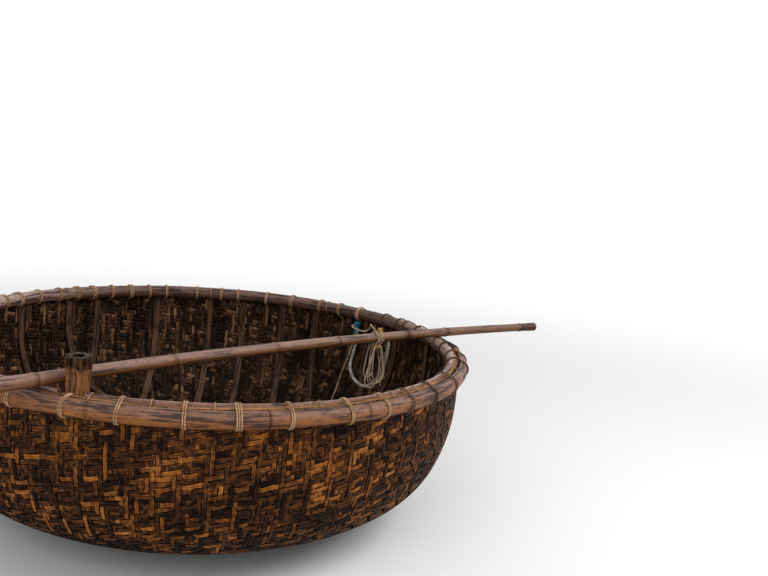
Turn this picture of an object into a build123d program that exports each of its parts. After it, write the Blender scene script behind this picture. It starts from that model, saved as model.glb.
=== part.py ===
"""Round bamboo basket boat with its rim hoops, ribs, thole post, pole and mooring cords.

Millimetres, +Z up. The origin is the middle of the flat bottom, which stands on the ground.
+X is the side where the thin end of the pole runs out over the rim, +Y is away from the thole post.
Angles round the rim are in degrees, from +X towards +Y.
"""

import os
from math import acos, asin, cos, degrees, pi, radians, sin, tan

from build123d import *

os.makedirs("parts", exist_ok=True)

# Fits
clearance = 0.3

# Woven hull: a straight side, then three tangent arcs down to a flat bottom, each bent in small
# straight steps. Each arc has a whole multiple of the ribs' steps, so that ribs lie clear of the skin
hull_radius = 970
wall = 8.5
straight_side = 138.5
side_radius = 580
side_angle = 24
bilge_radius = 294
bilge_angle = 61
floor_radius = 990
hull_steps = (4, 6, 4)
slot_cover = 8
slot_spare = 2

# Rim hoops of split bamboo, each a half round with its flat face to the wall
outer_hoop_height = 54
outer_hoop_depth = 29.7
outer_hoop_rise = 3
inner_hoop_height = 54
inner_hoop_depth = 26
inner_hoop_rise = 12
hoop_pieces = 3
scarf_slope = 16
outer_joint_angle = 12
scarf_spare = 2.5
hoop_flats = 6

# Two thin laths between the wall and the inner hoop
lath_thickness = 6.8
lath_height = 28
lath_joint_angles = (-147, -32)
lath_slit = 0.5
lath_rise = 1

# Ribs, flat slats that cross the bottom in two directions and end under the laths. Their places are
# shares of the hull's radius, and they bend over the side, the bilge and the floor in straight steps
rib_width = 28
rib_thickness = 4
long_rib_shares = (-0.66, -0.4175, -0.171, -0.006, 0.193, 0.366, 0.6185)
cross_rib_shares = (-0.642, -0.4125, -0.206, 0, 0.206, 0.4125, 0.627)
rib_steps = (2, 3, 4)

# Cord lashings over the rim, by the stretch of rim that they hold
lashing_width = 14
lashing_thickness = 3
near_lashings = (-92.9, -82.2, -73.5, -64.7, -53.4, -45.3, -38.8, -30.9, -20.8, -5.6, 2.05)
right_lashings = (10.5, 22.5, 28.5, 34.35, 37.5, 43.4)
far_lashings = (60, 66.6, 75.65, 83.45, 92, 96.95, 104.05, 112.8, 117.7, 122.95, 128.5, 133.85)
left_lashings = (138.6, 144.2, 150.55, 156.9, 161.95, 171, 175.8, -171.8, -160.5, -151.2, -144, -135.6)
corner_lashings = (-127, -119.5, -112.2)
rim_tie_angle = 53.15

# Thole post, a short culm that stands in the gap of the inner hoop, with a slimmer foot
post_angle = -102.1
post_radius = 39
post_foot_radius = 35.5
post_shoulder = 46
post_bore = 16
post_above_rim = 95
post_below_rim = 170
post_bore_depth = 205
post_edge = 3
post_gap = 1.5
tie_recess = 2.6

# Pole, one culm that lies across the rim, cut to suit the hull. Its nodes are at shares of its length
pole_rim_angles = (-107.5, 17)
pole_rim_share = 0.9763
pole_radius_thick = 21
pole_radius_thin = 16.5
pole_sideways_bow = 22.5
pole_upward_bow = 5.7
pole_tail_share = 0.3619
pole_length_share = 2.706
pole_nodes = (0.122, 0.2956, 0.4533, 0.5619, 0.6998, 0.7851, 0.9638)
pole_node_height = 2
pole_node_width = 12
pole_bore_share = 0.55
pole_bore_depth = 70

# Cord turns round the pole and what hangs from them
whipping_share = 0.6397
whipping_length = 44
whipping_thickness = 6.5
hank_drop = 180
hank_top_width = 46
hank_bottom_width = 118
hank_thickness = 36
knot_size = 30
knot_height = 44
knot_share = 0.96
knot_edge = 8
bridle_diameter = 14
tether_diameter = 7
tail_diameter = 6

# Cord routes: the bridle from the knot down and up to the pole, the tether from the knot to the
# cord turns, and the tail from the knot down to the bottom. Each point is a share of the hull's
# radius across, one along, and a drop from the top of the wall
bridle_route = (
    (0.5805, 0.7643, 86.9),
    (0.5805, 0.7643, 139.1),
    (0.566, 0.7113, 198.1),
    (0.5577, 0.6082, 235.1),
    (0.5979, 0.4433, 257.1),
    (0.6608, 0.2454, 221.1),
    (0.7155, 0.1134, 91.1),
    (0.7175, 0.0892, -16.9),
)
tether_route = (
    (0.566, 0.7553, 61.1),
    (0.5469, 0.7299, 61.1),
    (0.566, 0.6794, 62.1),
    (0.5979, 0.5876, 53.1),
    (0.6186, 0.4866, 33.1),
    (0.632, 0.3866, 5.1),
    (0.6392, 0.2887, -24.9),
    (0.6412, 0.1938, -55.9),
    (0.6392, 0.1072, -74.9),
    (0.6698, 0.0768, -50.2),
)
tail_route = (
    (0.5673, 0.7742, 86.9),
    (0.5673, 0.7742, 135.1),
    (0.5475, 0.7386, 209.4),
    (0.5195, 0.7095, 283.7),
    (0.5035, 0.6692, 357.9),
    (0.4763, 0.6319, 429.2),
    (0.4492, 0.5837, 494.1),
    (0.4178, 0.5201, 542),
    (0.3835, 0.4464, 571.1),
)

# Places that follow from the sizes above
rim_radius = hull_radius + clearance + outer_hoop_depth
bilge_turn = side_radius - bilge_radius
floor_turn = bilge_radius - floor_radius
side_foot = floor_radius + bilge_turn * sin(radians(side_angle)) + floor_turn * sin(radians(bilge_angle))
side_centre = (hull_radius - side_radius, side_foot)
bilge_centre = (
    side_centre[0] + bilge_turn * cos(radians(side_angle)),
    side_centre[1] - bilge_turn * sin(radians(side_angle)),
)
floor_centre = (bilge_centre[0] + floor_turn * cos(radians(bilge_angle)), floor_radius)
wall_top = side_foot + straight_side

outer_hoop_top = wall_top + outer_hoop_rise
outer_hoop_middle = outer_hoop_top - outer_hoop_height / 2
outer_hoop_face = hull_radius + clearance
lath_faces = [hull_radius - wall - clearance - i * (lath_thickness + clearance) for i in range(2)]
lath_top = wall_top + outer_hoop_rise + lath_rise
lath_bottom = lath_top - lath_height
inner_hoop_top = outer_hoop_top + inner_hoop_rise
inner_hoop_middle = inner_hoop_top - inner_hoop_height / 2
inner_hoop_face = lath_faces[1] - lath_thickness - clearance
inner_radius = inner_hoop_face - inner_hoop_depth
rib_top = lath_bottom - clearance
post_place = inner_hoop_face - clearance - post_foot_radius
long_rib_inset = wall + clearance
cross_rib_inset = long_rib_inset + rib_thickness + clearance
pole_length = pole_length_share * hull_radius
pole_tail = pole_tail_share * hull_radius
whipping_place = whipping_share * pole_length


def upright(angle):
    """The upright plane through the boat's middle at an angle of the rim; its X runs outward."""
    outward = (cos(radians(angle)), sin(radians(angle)), 0)
    return Plane(origin=(0, 0, 0), x_dir=outward, z_dir=(outward[1], -outward[0], 0))


def around(angle, radius, height):
    """A place on the rim, with X outward."""
    return Location((radius * cos(radians(angle)), radius * sin(radians(angle)), height), (0, 0, angle))


def stepped_line(inset, top, steps_of_arcs):
    """Half of the hull's section in straight steps, moved in from its outer face, from top to the middle."""
    points = [(hull_radius - inset, top)]
    arcs = (
        (side_centre, side_radius, 0, side_angle),
        (bilge_centre, bilge_radius, side_angle, bilge_angle),
        (floor_centre, floor_radius, bilge_angle, 90),
    )
    for (centre, radius, start, end), steps in zip(arcs, steps_of_arcs):
        for step in range(steps):
            angle = radians(start + (end - start) * step / steps)
            reach = radius - inset
            points.append((centre[0] + reach * cos(angle), centre[1] - reach * sin(angle)))
    return points + [(floor_centre[0], inset), (0, inset)]


def skin_section(inset, thickness, top, steps_of_arcs):
    """The closed half section of a skin that follows the hull."""
    with BuildSketch() as section:
        with BuildLine():
            outside = stepped_line(inset, top, steps_of_arcs)
            inside = stepped_line(inset + thickness, top, steps_of_arcs)
            Polyline(*outside, *reversed(inside), close=True)
        make_face()
    return section.sketch_local


def arc_radius(width, depth):
    """The radius of an arc that stands depth above a chord of this width."""
    return ((width / 2) ** 2 + depth**2) / (2 * depth)


outer_arc = arc_radius(outer_hoop_height, outer_hoop_depth)
inner_arc = arc_radius(inner_hoop_height, inner_hoop_depth)
outer_hoop_centre = rim_radius - outer_arc
inner_hoop_centre = inner_radius + inner_arc

# Hull with a slot for each lashing, just under the outer hoop
plain_lashings = near_lashings + right_lashings + far_lashings + left_lashings + corner_lashings
all_lashings = plain_lashings + (rim_tie_angle,)
slot_width = lashing_width + 2 * clearance
slot_top = outer_hoop_middle - outer_hoop_height / 2 + slot_cover
slot_bottom = outer_hoop_middle - outer_hoop_height / 2 - lashing_thickness - slot_spare
slot_middle = (slot_top + slot_bottom) / 2
slot_places = [around(angle, hull_radius - wall / 2, slot_middle) for angle in all_lashings + (post_angle,)]

with BuildPart() as hull_shell:
    with BuildSketch(Plane.XZ):
        add(skin_section(0, wall, wall_top, hull_steps))
    revolve(axis=Axis.Z)
    with Locations(*slot_places):
        Box(4 * wall, slot_width, slot_top - slot_bottom, mode=Mode.SUBTRACT)
hull_shell.part.label = "hull_shell"
export_step(hull_shell.part, "parts/hull_shell.step")

# Ribs, cut from a skin inside the hull by the width of one slat
for number, share in enumerate(long_rib_shares, 1):
    with BuildPart() as rib:
        with BuildSketch(Plane.XZ):
            add(skin_section(long_rib_inset, rib_thickness, rib_top, rib_steps))
        revolve(axis=Axis.Z)
        with Locations((share * hull_radius, 0, wall_top / 2)):
            Box(rib_width, 2 * rim_radius, 2 * wall_top, mode=Mode.INTERSECT)
    rib.part.label = f"rib_long_{number}"
    export_step(rib.part, f"parts/rib_long_{number}.step")

for number, share in enumerate(cross_rib_shares, 1):
    with BuildPart() as rib:
        with BuildSketch(Plane.XZ):
            add(skin_section(cross_rib_inset, rib_thickness, rib_top, rib_steps))
        revolve(axis=Axis.Z)
        with Locations((0, share * hull_radius, wall_top / 2)):
            Box(2 * rim_radius, rib_width, 2 * wall_top, mode=Mode.INTERSECT)
    rib.part.label = f"rib_cross_{number}"
    export_step(rib.part, f"parts/rib_cross_{number}.step")


def half_round(face, middle, height, depth, side):
    """A half round in flats, on the line of its flat face; side is 1 outward and -1 inward."""
    radius = arc_radius(height, depth)
    centre = face + side * (depth - radius)
    half = acos((radius - depth) / radius)
    turns = [half * (2 * flat / hoop_flats - 1) for flat in range(hoop_flats + 1)]
    points = [(centre + side * radius * cos(turn), middle + radius * sin(turn)) for turn in turns]
    with BuildSketch() as section:
        with BuildLine():
            Polyline(*points, close=True)
        make_face()
    return section.sketch_local


# Hoops: pieces that meet in slanting scarf joints
def scarf(angle, side, radius, depth):
    """Where the box that cuts a scarf stands, on one side of the slanting joint."""
    turned = angle + 90 - scarf_slope
    push = radians(turned + 90)
    x = radius * cos(radians(angle)) + side * depth / 2 * cos(push)
    y = radius * sin(radians(angle)) + side * depth / 2 * sin(push)
    return Location((x, y, outer_hoop_middle), (0, 0, turned))


def hoop_piece(start, end, face, middle, height, depth, side, scarfs):
    """One piece of a hoop from start to end; scarfs says which of the two ends are scarfed."""
    radius = face + side * depth / 2
    cut_depth = 3 * depth
    reach = degrees(0.5 * depth / sin(radians(scarf_slope)) / radius) + scarf_spare
    first = start - reach * scarfs[0]
    last = end + reach * scarfs[1]
    with BuildPart() as piece:
        with BuildSketch(upright(first)):
            add(half_round(face, middle, height, depth, side))
        revolve(axis=Axis.Z, revolution_arc=last - first)
        for angle, way, scarfed in ((start, -1, scarfs[0]), (end, 1, scarfs[1])):
            if scarfed:
                with Locations(scarf(angle, way, radius, cut_depth)):
                    Box(6 * height, cut_depth, 2 * height + 2 * inner_hoop_rise, mode=Mode.SUBTRACT)
    return piece.part


piece_arc = 360 / hoop_pieces
for number in range(1, hoop_pieces + 1):
    start = outer_joint_angle + (number - 1) * piece_arc
    with BuildPart() as hoop:
        add(
            hoop_piece(
                start,
                start + piece_arc,
                outer_hoop_face,
                outer_hoop_middle,
                outer_hoop_height,
                outer_hoop_depth,
                1,
                (True, True),
            )
        )
    hoop.part.label = f"outer_hoop_{number}"
    export_step(hoop.part, f"parts/outer_hoop_{number}.step")

# The inner hoop stops on both sides of the thole post
post_gap_angle = degrees(asin((post_radius + post_gap) / inner_radius))
for number in range(1, hoop_pieces + 1):
    first_piece = number == 1
    last_piece = number == hoop_pieces
    start = post_angle + (number - 1) * piece_arc
    with BuildPart() as hoop:
        add(
            hoop_piece(
                start + post_gap_angle * first_piece,
                start + piece_arc - post_gap_angle * last_piece,
                inner_hoop_face,
                inner_hoop_middle,
                inner_hoop_height,
                inner_hoop_depth,
                -1,
                (not first_piece, not last_piece),
            )
        )
    hoop.part.label = f"inner_hoop_{number}"
    export_step(hoop.part, f"parts/inner_hoop_{number}.step")

# Laths, each one strip whose ends meet in a slant
for number, (face, angle) in enumerate(zip(lath_faces, lath_joint_angles), 1):
    with BuildPart() as lath:
        with BuildSketch(Plane.XZ):
            with Locations((face, lath_bottom)):
                Rectangle(lath_thickness, lath_height, align=(Align.MAX, Align.MIN))
        revolve(axis=Axis.Z)
        slit = around(angle, face - lath_thickness / 2, lath_bottom + lath_height / 2)
        with Locations(slit * Location((0, 0, 0), (0, 0, 90 - scarf_slope))):
            Box(20 * lath_thickness, lath_slit, 2 * lath_height, mode=Mode.SUBTRACT)
    lath.part.label = f"lath_{number}"
    export_step(lath.part, f"parts/lath_{number}.step")


# Lashings, closed bands round the rim that pass through the slots of the wall
def corners(centre, middle, radius, angles):
    """Corners of a line that hugs a half round at a clearance."""
    reach = (radius + clearance) / cos(radians(22.5))
    return [(centre + reach * cos(radians(a)), middle + reach * sin(radians(a))) for a in angles]


def band_section(points):
    """The section of a cord band that is drawn tight round a line of points."""
    with BuildSketch() as section:
        with BuildLine():
            Polyline(*points, close=True)
        make_face()
        offset(amount=lashing_thickness, kind=Kind.INTERSECTION)
        with BuildLine():
            Polyline(*points, close=True)
        make_face(mode=Mode.SUBTRACT)
    return section.sketch_local


outer_hoop_bottom = outer_hoop_middle - outer_hoop_height / 2
inner_hoop_bottom = inner_hoop_middle - inner_hoop_height / 2
outer_corners = corners(outer_hoop_centre, outer_hoop_middle, outer_arc, (-67.5, -22.5, 22.5, 67.5))
inner_corners = corners(inner_hoop_centre, inner_hoop_middle, inner_arc, (112.5, 157.5, 202.5, 247.5))
rim_line = outer_corners + [(inner_hoop_face + clearance, inner_hoop_top + clearance)] + inner_corners
rim_line += [
    (inner_hoop_face + clearance, inner_hoop_bottom - clearance),
    (outer_hoop_face, outer_hoop_bottom - clearance),
]
rim_band = band_section(rim_line)

lashing_groups = {
    "lashings_near": near_lashings,
    "lashings_right": right_lashings,
    "lashings_far": far_lashings,
    "lashings_left": left_lashings,
    "lashings_corner": corner_lashings,
    "rim_tie": (rim_tie_angle,),
}
for name, angles in lashing_groups.items():
    with BuildPart() as lashings:
        with BuildSketch(*[upright(angle) for angle in angles]):
            add(rim_band)
        extrude(amount=lashing_width / 2, both=True)
    lashings.part.label = name
    export_step(lashings.part, f"parts/{name}.step")

# Thole post with the two holes that its lashing goes through
post_bottom = inner_hoop_top - post_below_rim
post_top = inner_hoop_top + post_above_rim
shoulder = inner_hoop_top + post_shoulder
tie_inside = post_place + post_bore - tie_recess
tie_top = lath_top + clearance
tie_bottom = outer_hoop_bottom - clearance
with BuildPart() as thole_post:
    for bottom, top, radius in (
        (post_bottom, shoulder, post_foot_radius),
        (shoulder, post_top, post_radius),
    ):
        with BuildSketch(Plane.XY.offset(bottom)):
            with Locations(around(post_angle, post_place, 0)):
                Circle(radius)
        extrude(amount=top - bottom)
    chamfer(thole_post.faces().sort_by(Axis.Z)[-1].edges(), post_edge)
    with Locations(around(post_angle, post_place, post_top)):
        Cylinder(
            post_bore,
            post_bore_depth,
            align=(Align.CENTER, Align.CENTER, Align.MAX),
            mode=Mode.SUBTRACT,
        )
    for low in (tie_top - clearance, tie_bottom - lashing_thickness - clearance):
        with Locations(around(post_angle, post_place, low)):
            Box(
                2 * post_radius,
                slot_width,
                lashing_thickness + 2 * clearance,
                align=(Align.MIN, Align.CENTER, Align.MIN),
                mode=Mode.SUBTRACT,
            )
thole_post.part.label = "thole_post"
export_step(thole_post.part, "parts/thole_post.step")

tie_line = outer_corners + [
    (outer_hoop_face, tie_top),
    (tie_inside, tie_top),
    (tie_inside, tie_bottom),
]
with BuildPart() as post_tie:
    with BuildSketch(upright(post_angle)):
        add(band_section(tie_line))
    extrude(amount=lashing_width / 2, both=True)
post_tie.part.label = "post_tie"
export_step(post_tie.part, "parts/post_tie.step")


# Pole, with a slight bend and a ring at each node
def pole_radius(along):
    """The pole's radius at a length from its thick end."""
    return pole_radius_thick + (pole_radius_thin - pole_radius_thick) * along / pole_length


def rest_point(angle, along):
    """The pole's middle where it lies on the inner hoop."""
    reach = pole_rim_share * hull_radius
    height = inner_hoop_top + clearance + pole_radius(along)
    return Vector(reach * cos(radians(angle)), reach * sin(radians(angle)), height)


rest_gap = rest_point(pole_rim_angles[1], 0) - rest_point(pole_rim_angles[0], 0)
pole_span = rest_gap.length
thick_rest = rest_point(pole_rim_angles[0], pole_tail)
thin_rest = rest_point(pole_rim_angles[1], pole_tail + pole_span)
pole_sideways = Vector(-rest_gap.Y, rest_gap.X, 0).normalized()


def pole_point(along):
    """The pole's middle at a length from its thick end."""
    share = (along - pole_tail) / pole_span
    bow = 4 * share * (1 - share)
    straight = thick_rest + (thin_rest - thick_rest) * share
    return straight + pole_sideways * (pole_sideways_bow * bow) + Vector(0, 0, pole_upward_bow * bow)


def pole_plane(along):
    """The plane across the pole at a length from its thick end."""
    run = pole_point(along + 1) - pole_point(along - 1)
    return Plane(origin=pole_point(along), x_dir=Vector(run.Y, -run.X, 0), z_dir=run)


# Sections at the ends and at the cord turns, and three at each node
plain_places = (0, whipping_place - whipping_length, whipping_place + whipping_length, pole_length)
pole_sections = [(along, pole_radius(along)) for along in plain_places]
for share in pole_nodes:
    node = share * pole_length
    for shift, rise in ((-pole_node_width / 2, 0), (0, pole_node_height), (pole_node_width / 2, 0)):
        pole_sections.append((node + shift, pole_radius(node + shift) + rise))

with BuildPart() as pole:
    for along, radius in sorted(pole_sections):
        with BuildSketch(pole_plane(along)):
            Circle(radius)
    loft(ruled=True)
    for end, side in ((0, Align.MIN), (pole_length, Align.MAX)):
        with Locations(pole_plane(end).location):
            Cylinder(
                pole_radius(end) * pole_bore_share,
                pole_bore_depth,
                align=(Align.CENTER, Align.CENTER, side),
                mode=Mode.SUBTRACT,
            )
pole.part.label = "pole"
export_step(pole.part, "parts/pole.step")

# Turns of cord round the pole
whipping_plane = pole_plane(whipping_place)
whipping_inside = pole_radius(whipping_place - whipping_length / 2) + clearance
whipping_outside = whipping_inside + whipping_thickness
with BuildPart() as whipping:
    with BuildSketch(whipping_plane):
        RegularPolygon(whipping_outside, 12, major_radius=False, rotation=15)
        RegularPolygon(whipping_inside, 12, major_radius=False, rotation=15, mode=Mode.SUBTRACT)
    extrude(amount=whipping_length / 2, both=True)
whipping.part.label = "whipping"
export_step(whipping.part, "parts/whipping.step")

# Hank of thin cord that hangs under the turns
hank_plane = Plane(
    origin=whipping_plane.origin - Vector(0, 0, whipping_outside + 2 * clearance),
    x_dir=Vector(whipping_plane.z_dir.X, whipping_plane.z_dir.Y, 0),
    z_dir=whipping_plane.x_dir,
)
with BuildPart() as hank:
    with BuildSketch(hank_plane):
        with BuildLine():
            Polyline(
                (-hank_top_width / 2, 0),
                (hank_top_width / 2, 0),
                (hank_bottom_width / 2, -hank_drop),
                (-hank_bottom_width / 2, -hank_drop),
                close=True,
            )
        make_face()
    extrude(amount=hank_thickness / 2, both=True)
hank.part.label = "hank"
export_step(hank.part, "parts/hank.step")

# Knot under the rim tie, from which the three cords lead away
knot_top = inner_hoop_bottom - 2 * clearance - lashing_thickness
knot_bottom = knot_top - knot_height
with BuildPart() as tie_knot:
    with Locations(around(rim_tie_angle, knot_share * hull_radius, knot_top)):
        Box(knot_size, knot_size, knot_height, align=(Align.CENTER, Align.CENTER, Align.MAX))
    chamfer(tie_knot.edges().filter_by(Axis.Z), knot_edge)
tie_knot.part.label = "tie_knot"
export_step(tie_knot.part, "parts/tie_knot.step")


# Cords, each a tube along straight runs that are joined by tangent arcs
def cord_tube(route, diameter):
    """A tube of this diameter on a route, with the largest arcs that its runs allow."""
    places = [Vector(x * hull_radius, y * hull_radius, wall_top - drop) for x, y, drop in route]
    radii = []
    for first, corner, last in zip(places, places[1:], places[2:]):
        shorter = min((corner - first).length, (last - corner).length)
        turn = (corner - first).get_angle(last - corner)
        radii.append(0.45 * shorter / tan(radians(turn / 2)))
    with BuildPart() as tube:
        with BuildLine():
            path = FilletPolyline(*places, radius=radii)
        with BuildSketch(Plane(origin=path @ 0, z_dir=path % 0)):
            Circle(diameter / 2)
        sweep()
    expected = pi * diameter**2 / 4 * path.length
    print("radii", [round(radius) for radius in radii], "length", round(path.length))
    print("volume over section by length", round(tube.part.volume / expected, 4))
    return tube.part


for name, route, diameter in (
    ("bridle", bridle_route, bridle_diameter),
    ("tether", tether_route, tether_diameter),
    ("tail_cord", tail_route, tail_diameter),
):
    with BuildPart() as cord:
        add(cord_tube(route, diameter))
    cord.part.label = name
    export_step(cord.part, f"parts/{name}.step")
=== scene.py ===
"""Dresses the round bamboo basket boat: woven hull, lashed rim, ribs, post, pole and cords."""

import random
from math import acos, asin, atan2, ceil, cos, pi, radians, sin, tan

import bpy
import numpy as np
from bpy.props import FloatProperty, FloatVectorProperty, IntProperty, PointerProperty
from mathutils import Matrix, Vector


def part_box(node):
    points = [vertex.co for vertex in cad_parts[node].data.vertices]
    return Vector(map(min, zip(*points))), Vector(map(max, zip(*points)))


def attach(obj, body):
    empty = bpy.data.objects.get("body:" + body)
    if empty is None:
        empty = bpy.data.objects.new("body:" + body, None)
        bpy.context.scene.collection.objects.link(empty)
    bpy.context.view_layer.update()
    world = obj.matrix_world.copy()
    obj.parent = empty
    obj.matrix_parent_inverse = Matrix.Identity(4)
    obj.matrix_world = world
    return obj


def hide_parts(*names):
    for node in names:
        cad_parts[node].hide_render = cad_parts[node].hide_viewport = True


bl_info = {
    "name": "Bamboo Basket Boat",
    "version": (1, 0, 0),
    "blender": (4, 5, 0),
    "location": "3D View > Sidebar > Basket Boat",
    "description": "Dresses a round woven basket boat with its rim, ribs, post, pole and cords",
    "category": "Add Mesh",
}

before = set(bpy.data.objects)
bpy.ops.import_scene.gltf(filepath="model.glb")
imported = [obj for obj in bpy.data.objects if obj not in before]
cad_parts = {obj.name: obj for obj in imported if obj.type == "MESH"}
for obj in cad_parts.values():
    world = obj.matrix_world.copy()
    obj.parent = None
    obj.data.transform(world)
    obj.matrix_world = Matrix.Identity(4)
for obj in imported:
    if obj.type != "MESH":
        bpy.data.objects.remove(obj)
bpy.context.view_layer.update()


# Points and lines as arrays
def unit(vectors):
    """The same vectors at length one."""
    return vectors / np.maximum(np.linalg.norm(vectors, axis=-1, keepdims=True), 1e-12)


def columns(*values):
    """An array whose columns are these values, each a number or a row of numbers."""
    return np.column_stack(np.broadcast_arrays(*values))


def polar(reach, angle, height):
    """Points at a reach and an angle round the boat's middle."""
    return np.stack(np.broadcast_arrays(reach * np.cos(angle), reach * np.sin(angle), height), -1)


def round_points(turns):
    """Points of the unit circle."""
    return np.column_stack([np.cos(turns), np.sin(turns)])


def circle(sides, radius=1.0):
    """A ring of points on a circle."""
    return round_points(2 * pi * np.arange(sides) / sides) * radius


def ring(sides):
    """Where each point of a ring lies on its way round, from 0 to 1."""
    return np.arange(sides)[None] / sides


def wrapped(angle):
    """The same angles between minus and plus half a turn."""
    return (angle + pi) % (2 * pi) - pi


def bell(gap, width):
    """One at no gap, fading to nothing within a few widths."""
    return np.exp(-((gap / width) ** 2))


def waves(chance, places, size, spans):
    """A smooth wander of about this size, made of a few sines with these wavelengths."""
    sines = [np.sin(2 * pi * places / span + chance.uniform(0, 2 * pi)) for span in spans]
    return size * sum(sines) / len(spans)


def bumps(places, nodes, radius, width):
    """How much of a node is at each place round the rim, from 0 to 1."""
    return np.minimum(sum(bell(wrapped(places - radians(node)) * radius, width) for node in nodes), 1)


def lengths(line):
    """How far along a line each of its points is."""
    return np.r_[0, np.cumsum(np.linalg.norm(np.diff(line, axis=0), axis=1))]


def resampled(line, step):
    """The line again with points about step apart."""
    along = lengths(line)
    places = np.linspace(0, along[-1], max(3, ceil(along[-1] / step) + 1))
    return np.column_stack([np.interp(places, along, column) for column in line.T])


def tube_rings(line, section, up):
    """Rings of a section, rows of (side, up), along a line; up is one direction or one for each point."""
    travel = unit(np.gradient(line, axis=0))
    up = np.broadcast_to(up, line.shape)
    up = unit(up - (up * travel).sum(-1, keepdims=True) * travel)
    side = np.cross(up, travel)
    return line[:, None] + section[..., :1] * side[:, None] + section[..., 1:] * up[:, None]


def carried(line):
    """Side and up directions that are carried along a line without twist."""
    travel = unit(np.gradient(line, axis=0))
    start = np.array([0.31, 0.22, 0.93])
    up = [unit(start - start @ travel[0] * travel[0])]
    for step in travel[1:]:
        up.append(unit(up[-1] - up[-1] @ step * step))
    return np.cross(up, travel), np.array(up)


def offsets(*parts):
    """Moves along some directions, each part with its distances in millimetres and its direction."""
    return MM * sum(np.multiply.outer(distance, direction) for distance, direction in parts)


# Sizes that the pieces share, in metres; they follow the boat's own construction
MM = 0.001
UP = (0, 0, 1)
HULL_LOW, HULL_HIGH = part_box("hull_shell")
HULL_RADIUS = (HULL_HIGH[0] - HULL_LOW[0]) / 2
WALL_TOP = HULL_HIGH[2]
WALL = 8.5 * MM
FIT = 0.3 * MM
SIDE_RADIUS, BILGE_RADIUS, FLOOR_RADIUS = 580 * MM, 294 * MM, 990 * MM
SIDE_ANGLE, BILGE_ANGLE = radians(24), radians(61)
STRAIGHT_SIDE = 138.5 * MM
SIDE_START, MAT_REACH = 0.8, 0.815
RIM_REACH = 0.95
OUTER_FACE = HULL_RADIUS + FIT
OUTER_DEPTH = 29.7 * MM
INNER_FACE = HULL_RADIUS - 23 * MM
INNER_DEPTH = 26 * MM
HOOP_HEIGHT = 54 * MM
OUTER_MIDDLE = WALL_TOP - 24 * MM
INNER_MIDDLE = WALL_TOP - 12 * MM
INNER_TOP = INNER_MIDDLE + HOOP_HEIGHT / 2
OUTER_ARC = ((HOOP_HEIGHT / 2) ** 2 + OUTER_DEPTH**2) / (2 * OUTER_DEPTH)
INNER_ARC = ((HOOP_HEIGHT / 2) ** 2 + INNER_DEPTH**2) / (2 * INNER_DEPTH)
OUTER_HUB = np.array([OUTER_FACE + OUTER_DEPTH - OUTER_ARC, OUTER_MIDDLE])
INNER_HUB = np.array([INNER_FACE - INNER_DEPTH + INNER_ARC, INNER_MIDDLE])
SCARF_SLOPE = radians(16)
POST_ANGLE = radians(-102.1)
POST_RADIUS, POST_FOOT = 39 * MM, 35.5 * MM
POST_PLACE = INNER_FACE - FIT - POST_FOOT
KNOT_ANGLE = radians(53.15)
POLE_LENGTH = 2.706 * HULL_RADIUS
POLE_TAIL = 0.3619 * HULL_RADIUS
POLE_NODES = (0.122, 0.2956, 0.4533, 0.5619, 0.6998, 0.7851, 0.9638)
POLE_RESTS = radians(-107.5), radians(17)
WHIPPING_PLACE = 0.6397 * POLE_LENGTH

# Cord routes in the same terms as the construction: shares of the hull's radius, and a drop in mm
BRIDLE_ROUTE = (
    (0.5805, 0.7643, 86.9), (0.5805, 0.7643, 139.1), (0.566, 0.7113, 198.1), (0.5577, 0.6082, 235.1),
    (0.5979, 0.4433, 257.1), (0.6608, 0.2454, 221.1), (0.7155, 0.1134, 91.1), (0.7175, 0.0892, -16.9),
)
TETHER_ROUTE = (
    (0.566, 0.7553, 61.1), (0.5469, 0.7299, 61.1), (0.566, 0.6794, 62.1), (0.5979, 0.5876, 53.1),
    (0.6186, 0.4866, 33.1), (0.632, 0.3866, 5.1), (0.6392, 0.2887, -24.9), (0.6412, 0.1938, -55.9),
    (0.6392, 0.1072, -74.9), (0.6698, 0.0768, -50.2),
)
TAIL_ROUTE = (
    (0.5673, 0.7742, 86.9), (0.5673, 0.7742, 135.1), (0.5475, 0.7386, 209.4), (0.5195, 0.7095, 283.7),
    (0.5035, 0.6692, 357.9), (0.4763, 0.6319, 429.2), (0.4492, 0.5837, 494.1), (0.4178, 0.5201, 542),
    (0.3835, 0.4464, 571.1),
)

# Each turn of the hank: its drop, its low radius, and its lean at the top and at the fold, in mm
HANK_TURNS = ((132, 26, -12, -18), (164, 38, -4, 10), (148, 31, 4, 22), (170, 34, 10, -16), (154, 40, 2, 6))

# Places round the rim in degrees: lashings in pale and in tarred cord, small ties, and nodes of the hoops
PALE_LASHINGS = (
    -92.9, -82.2, -73.5, -64.7, -53.4, -45.3,
    60, 66.6, 75.65, 83.45, 92, 96.95, 104.05, 112.8, 117.7, 122.95, 128.5, 133.85,
    138.6, 144.2, 150.55, 156.9, 161.95, 171, 175.8, -171.8, -160.5, -151.2, -144, -135.6,
    -127, -119.5, -112.2,
)
DARK_LASHINGS = (-38.8, -30.9, -20.8, -5.6, 2.05, 10.5, 22.5, 28.5, 34.35, 37.5, 43.4)
SMALL_TIES = (-98.4, -87.9, -77.5, -58.5, -42, -12, 17, 64, 100, 142, 167, -165, -148, -131)
OUTER_NODES = (31, 56.5, 79.5, 101, 126, 147, 168, 195, 212, 237, 262, 291, 310, 347)
INNER_NODES = (-88, -60, -35.5, -2, 25.5, 48, 71, 88, 109, 126, 153, 174, 204, 221, 244)

# Each hoop's flat face, middle height, depth, arc, side (1 faces outward) and nodes
OUTER_HOOP = (OUTER_FACE, OUTER_MIDDLE, OUTER_DEPTH, OUTER_ARC, 1, OUTER_NODES)
INNER_HOOP = (INNER_FACE, INNER_MIDDLE, INNER_DEPTH, INNER_ARC, -1, INNER_NODES)
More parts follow.
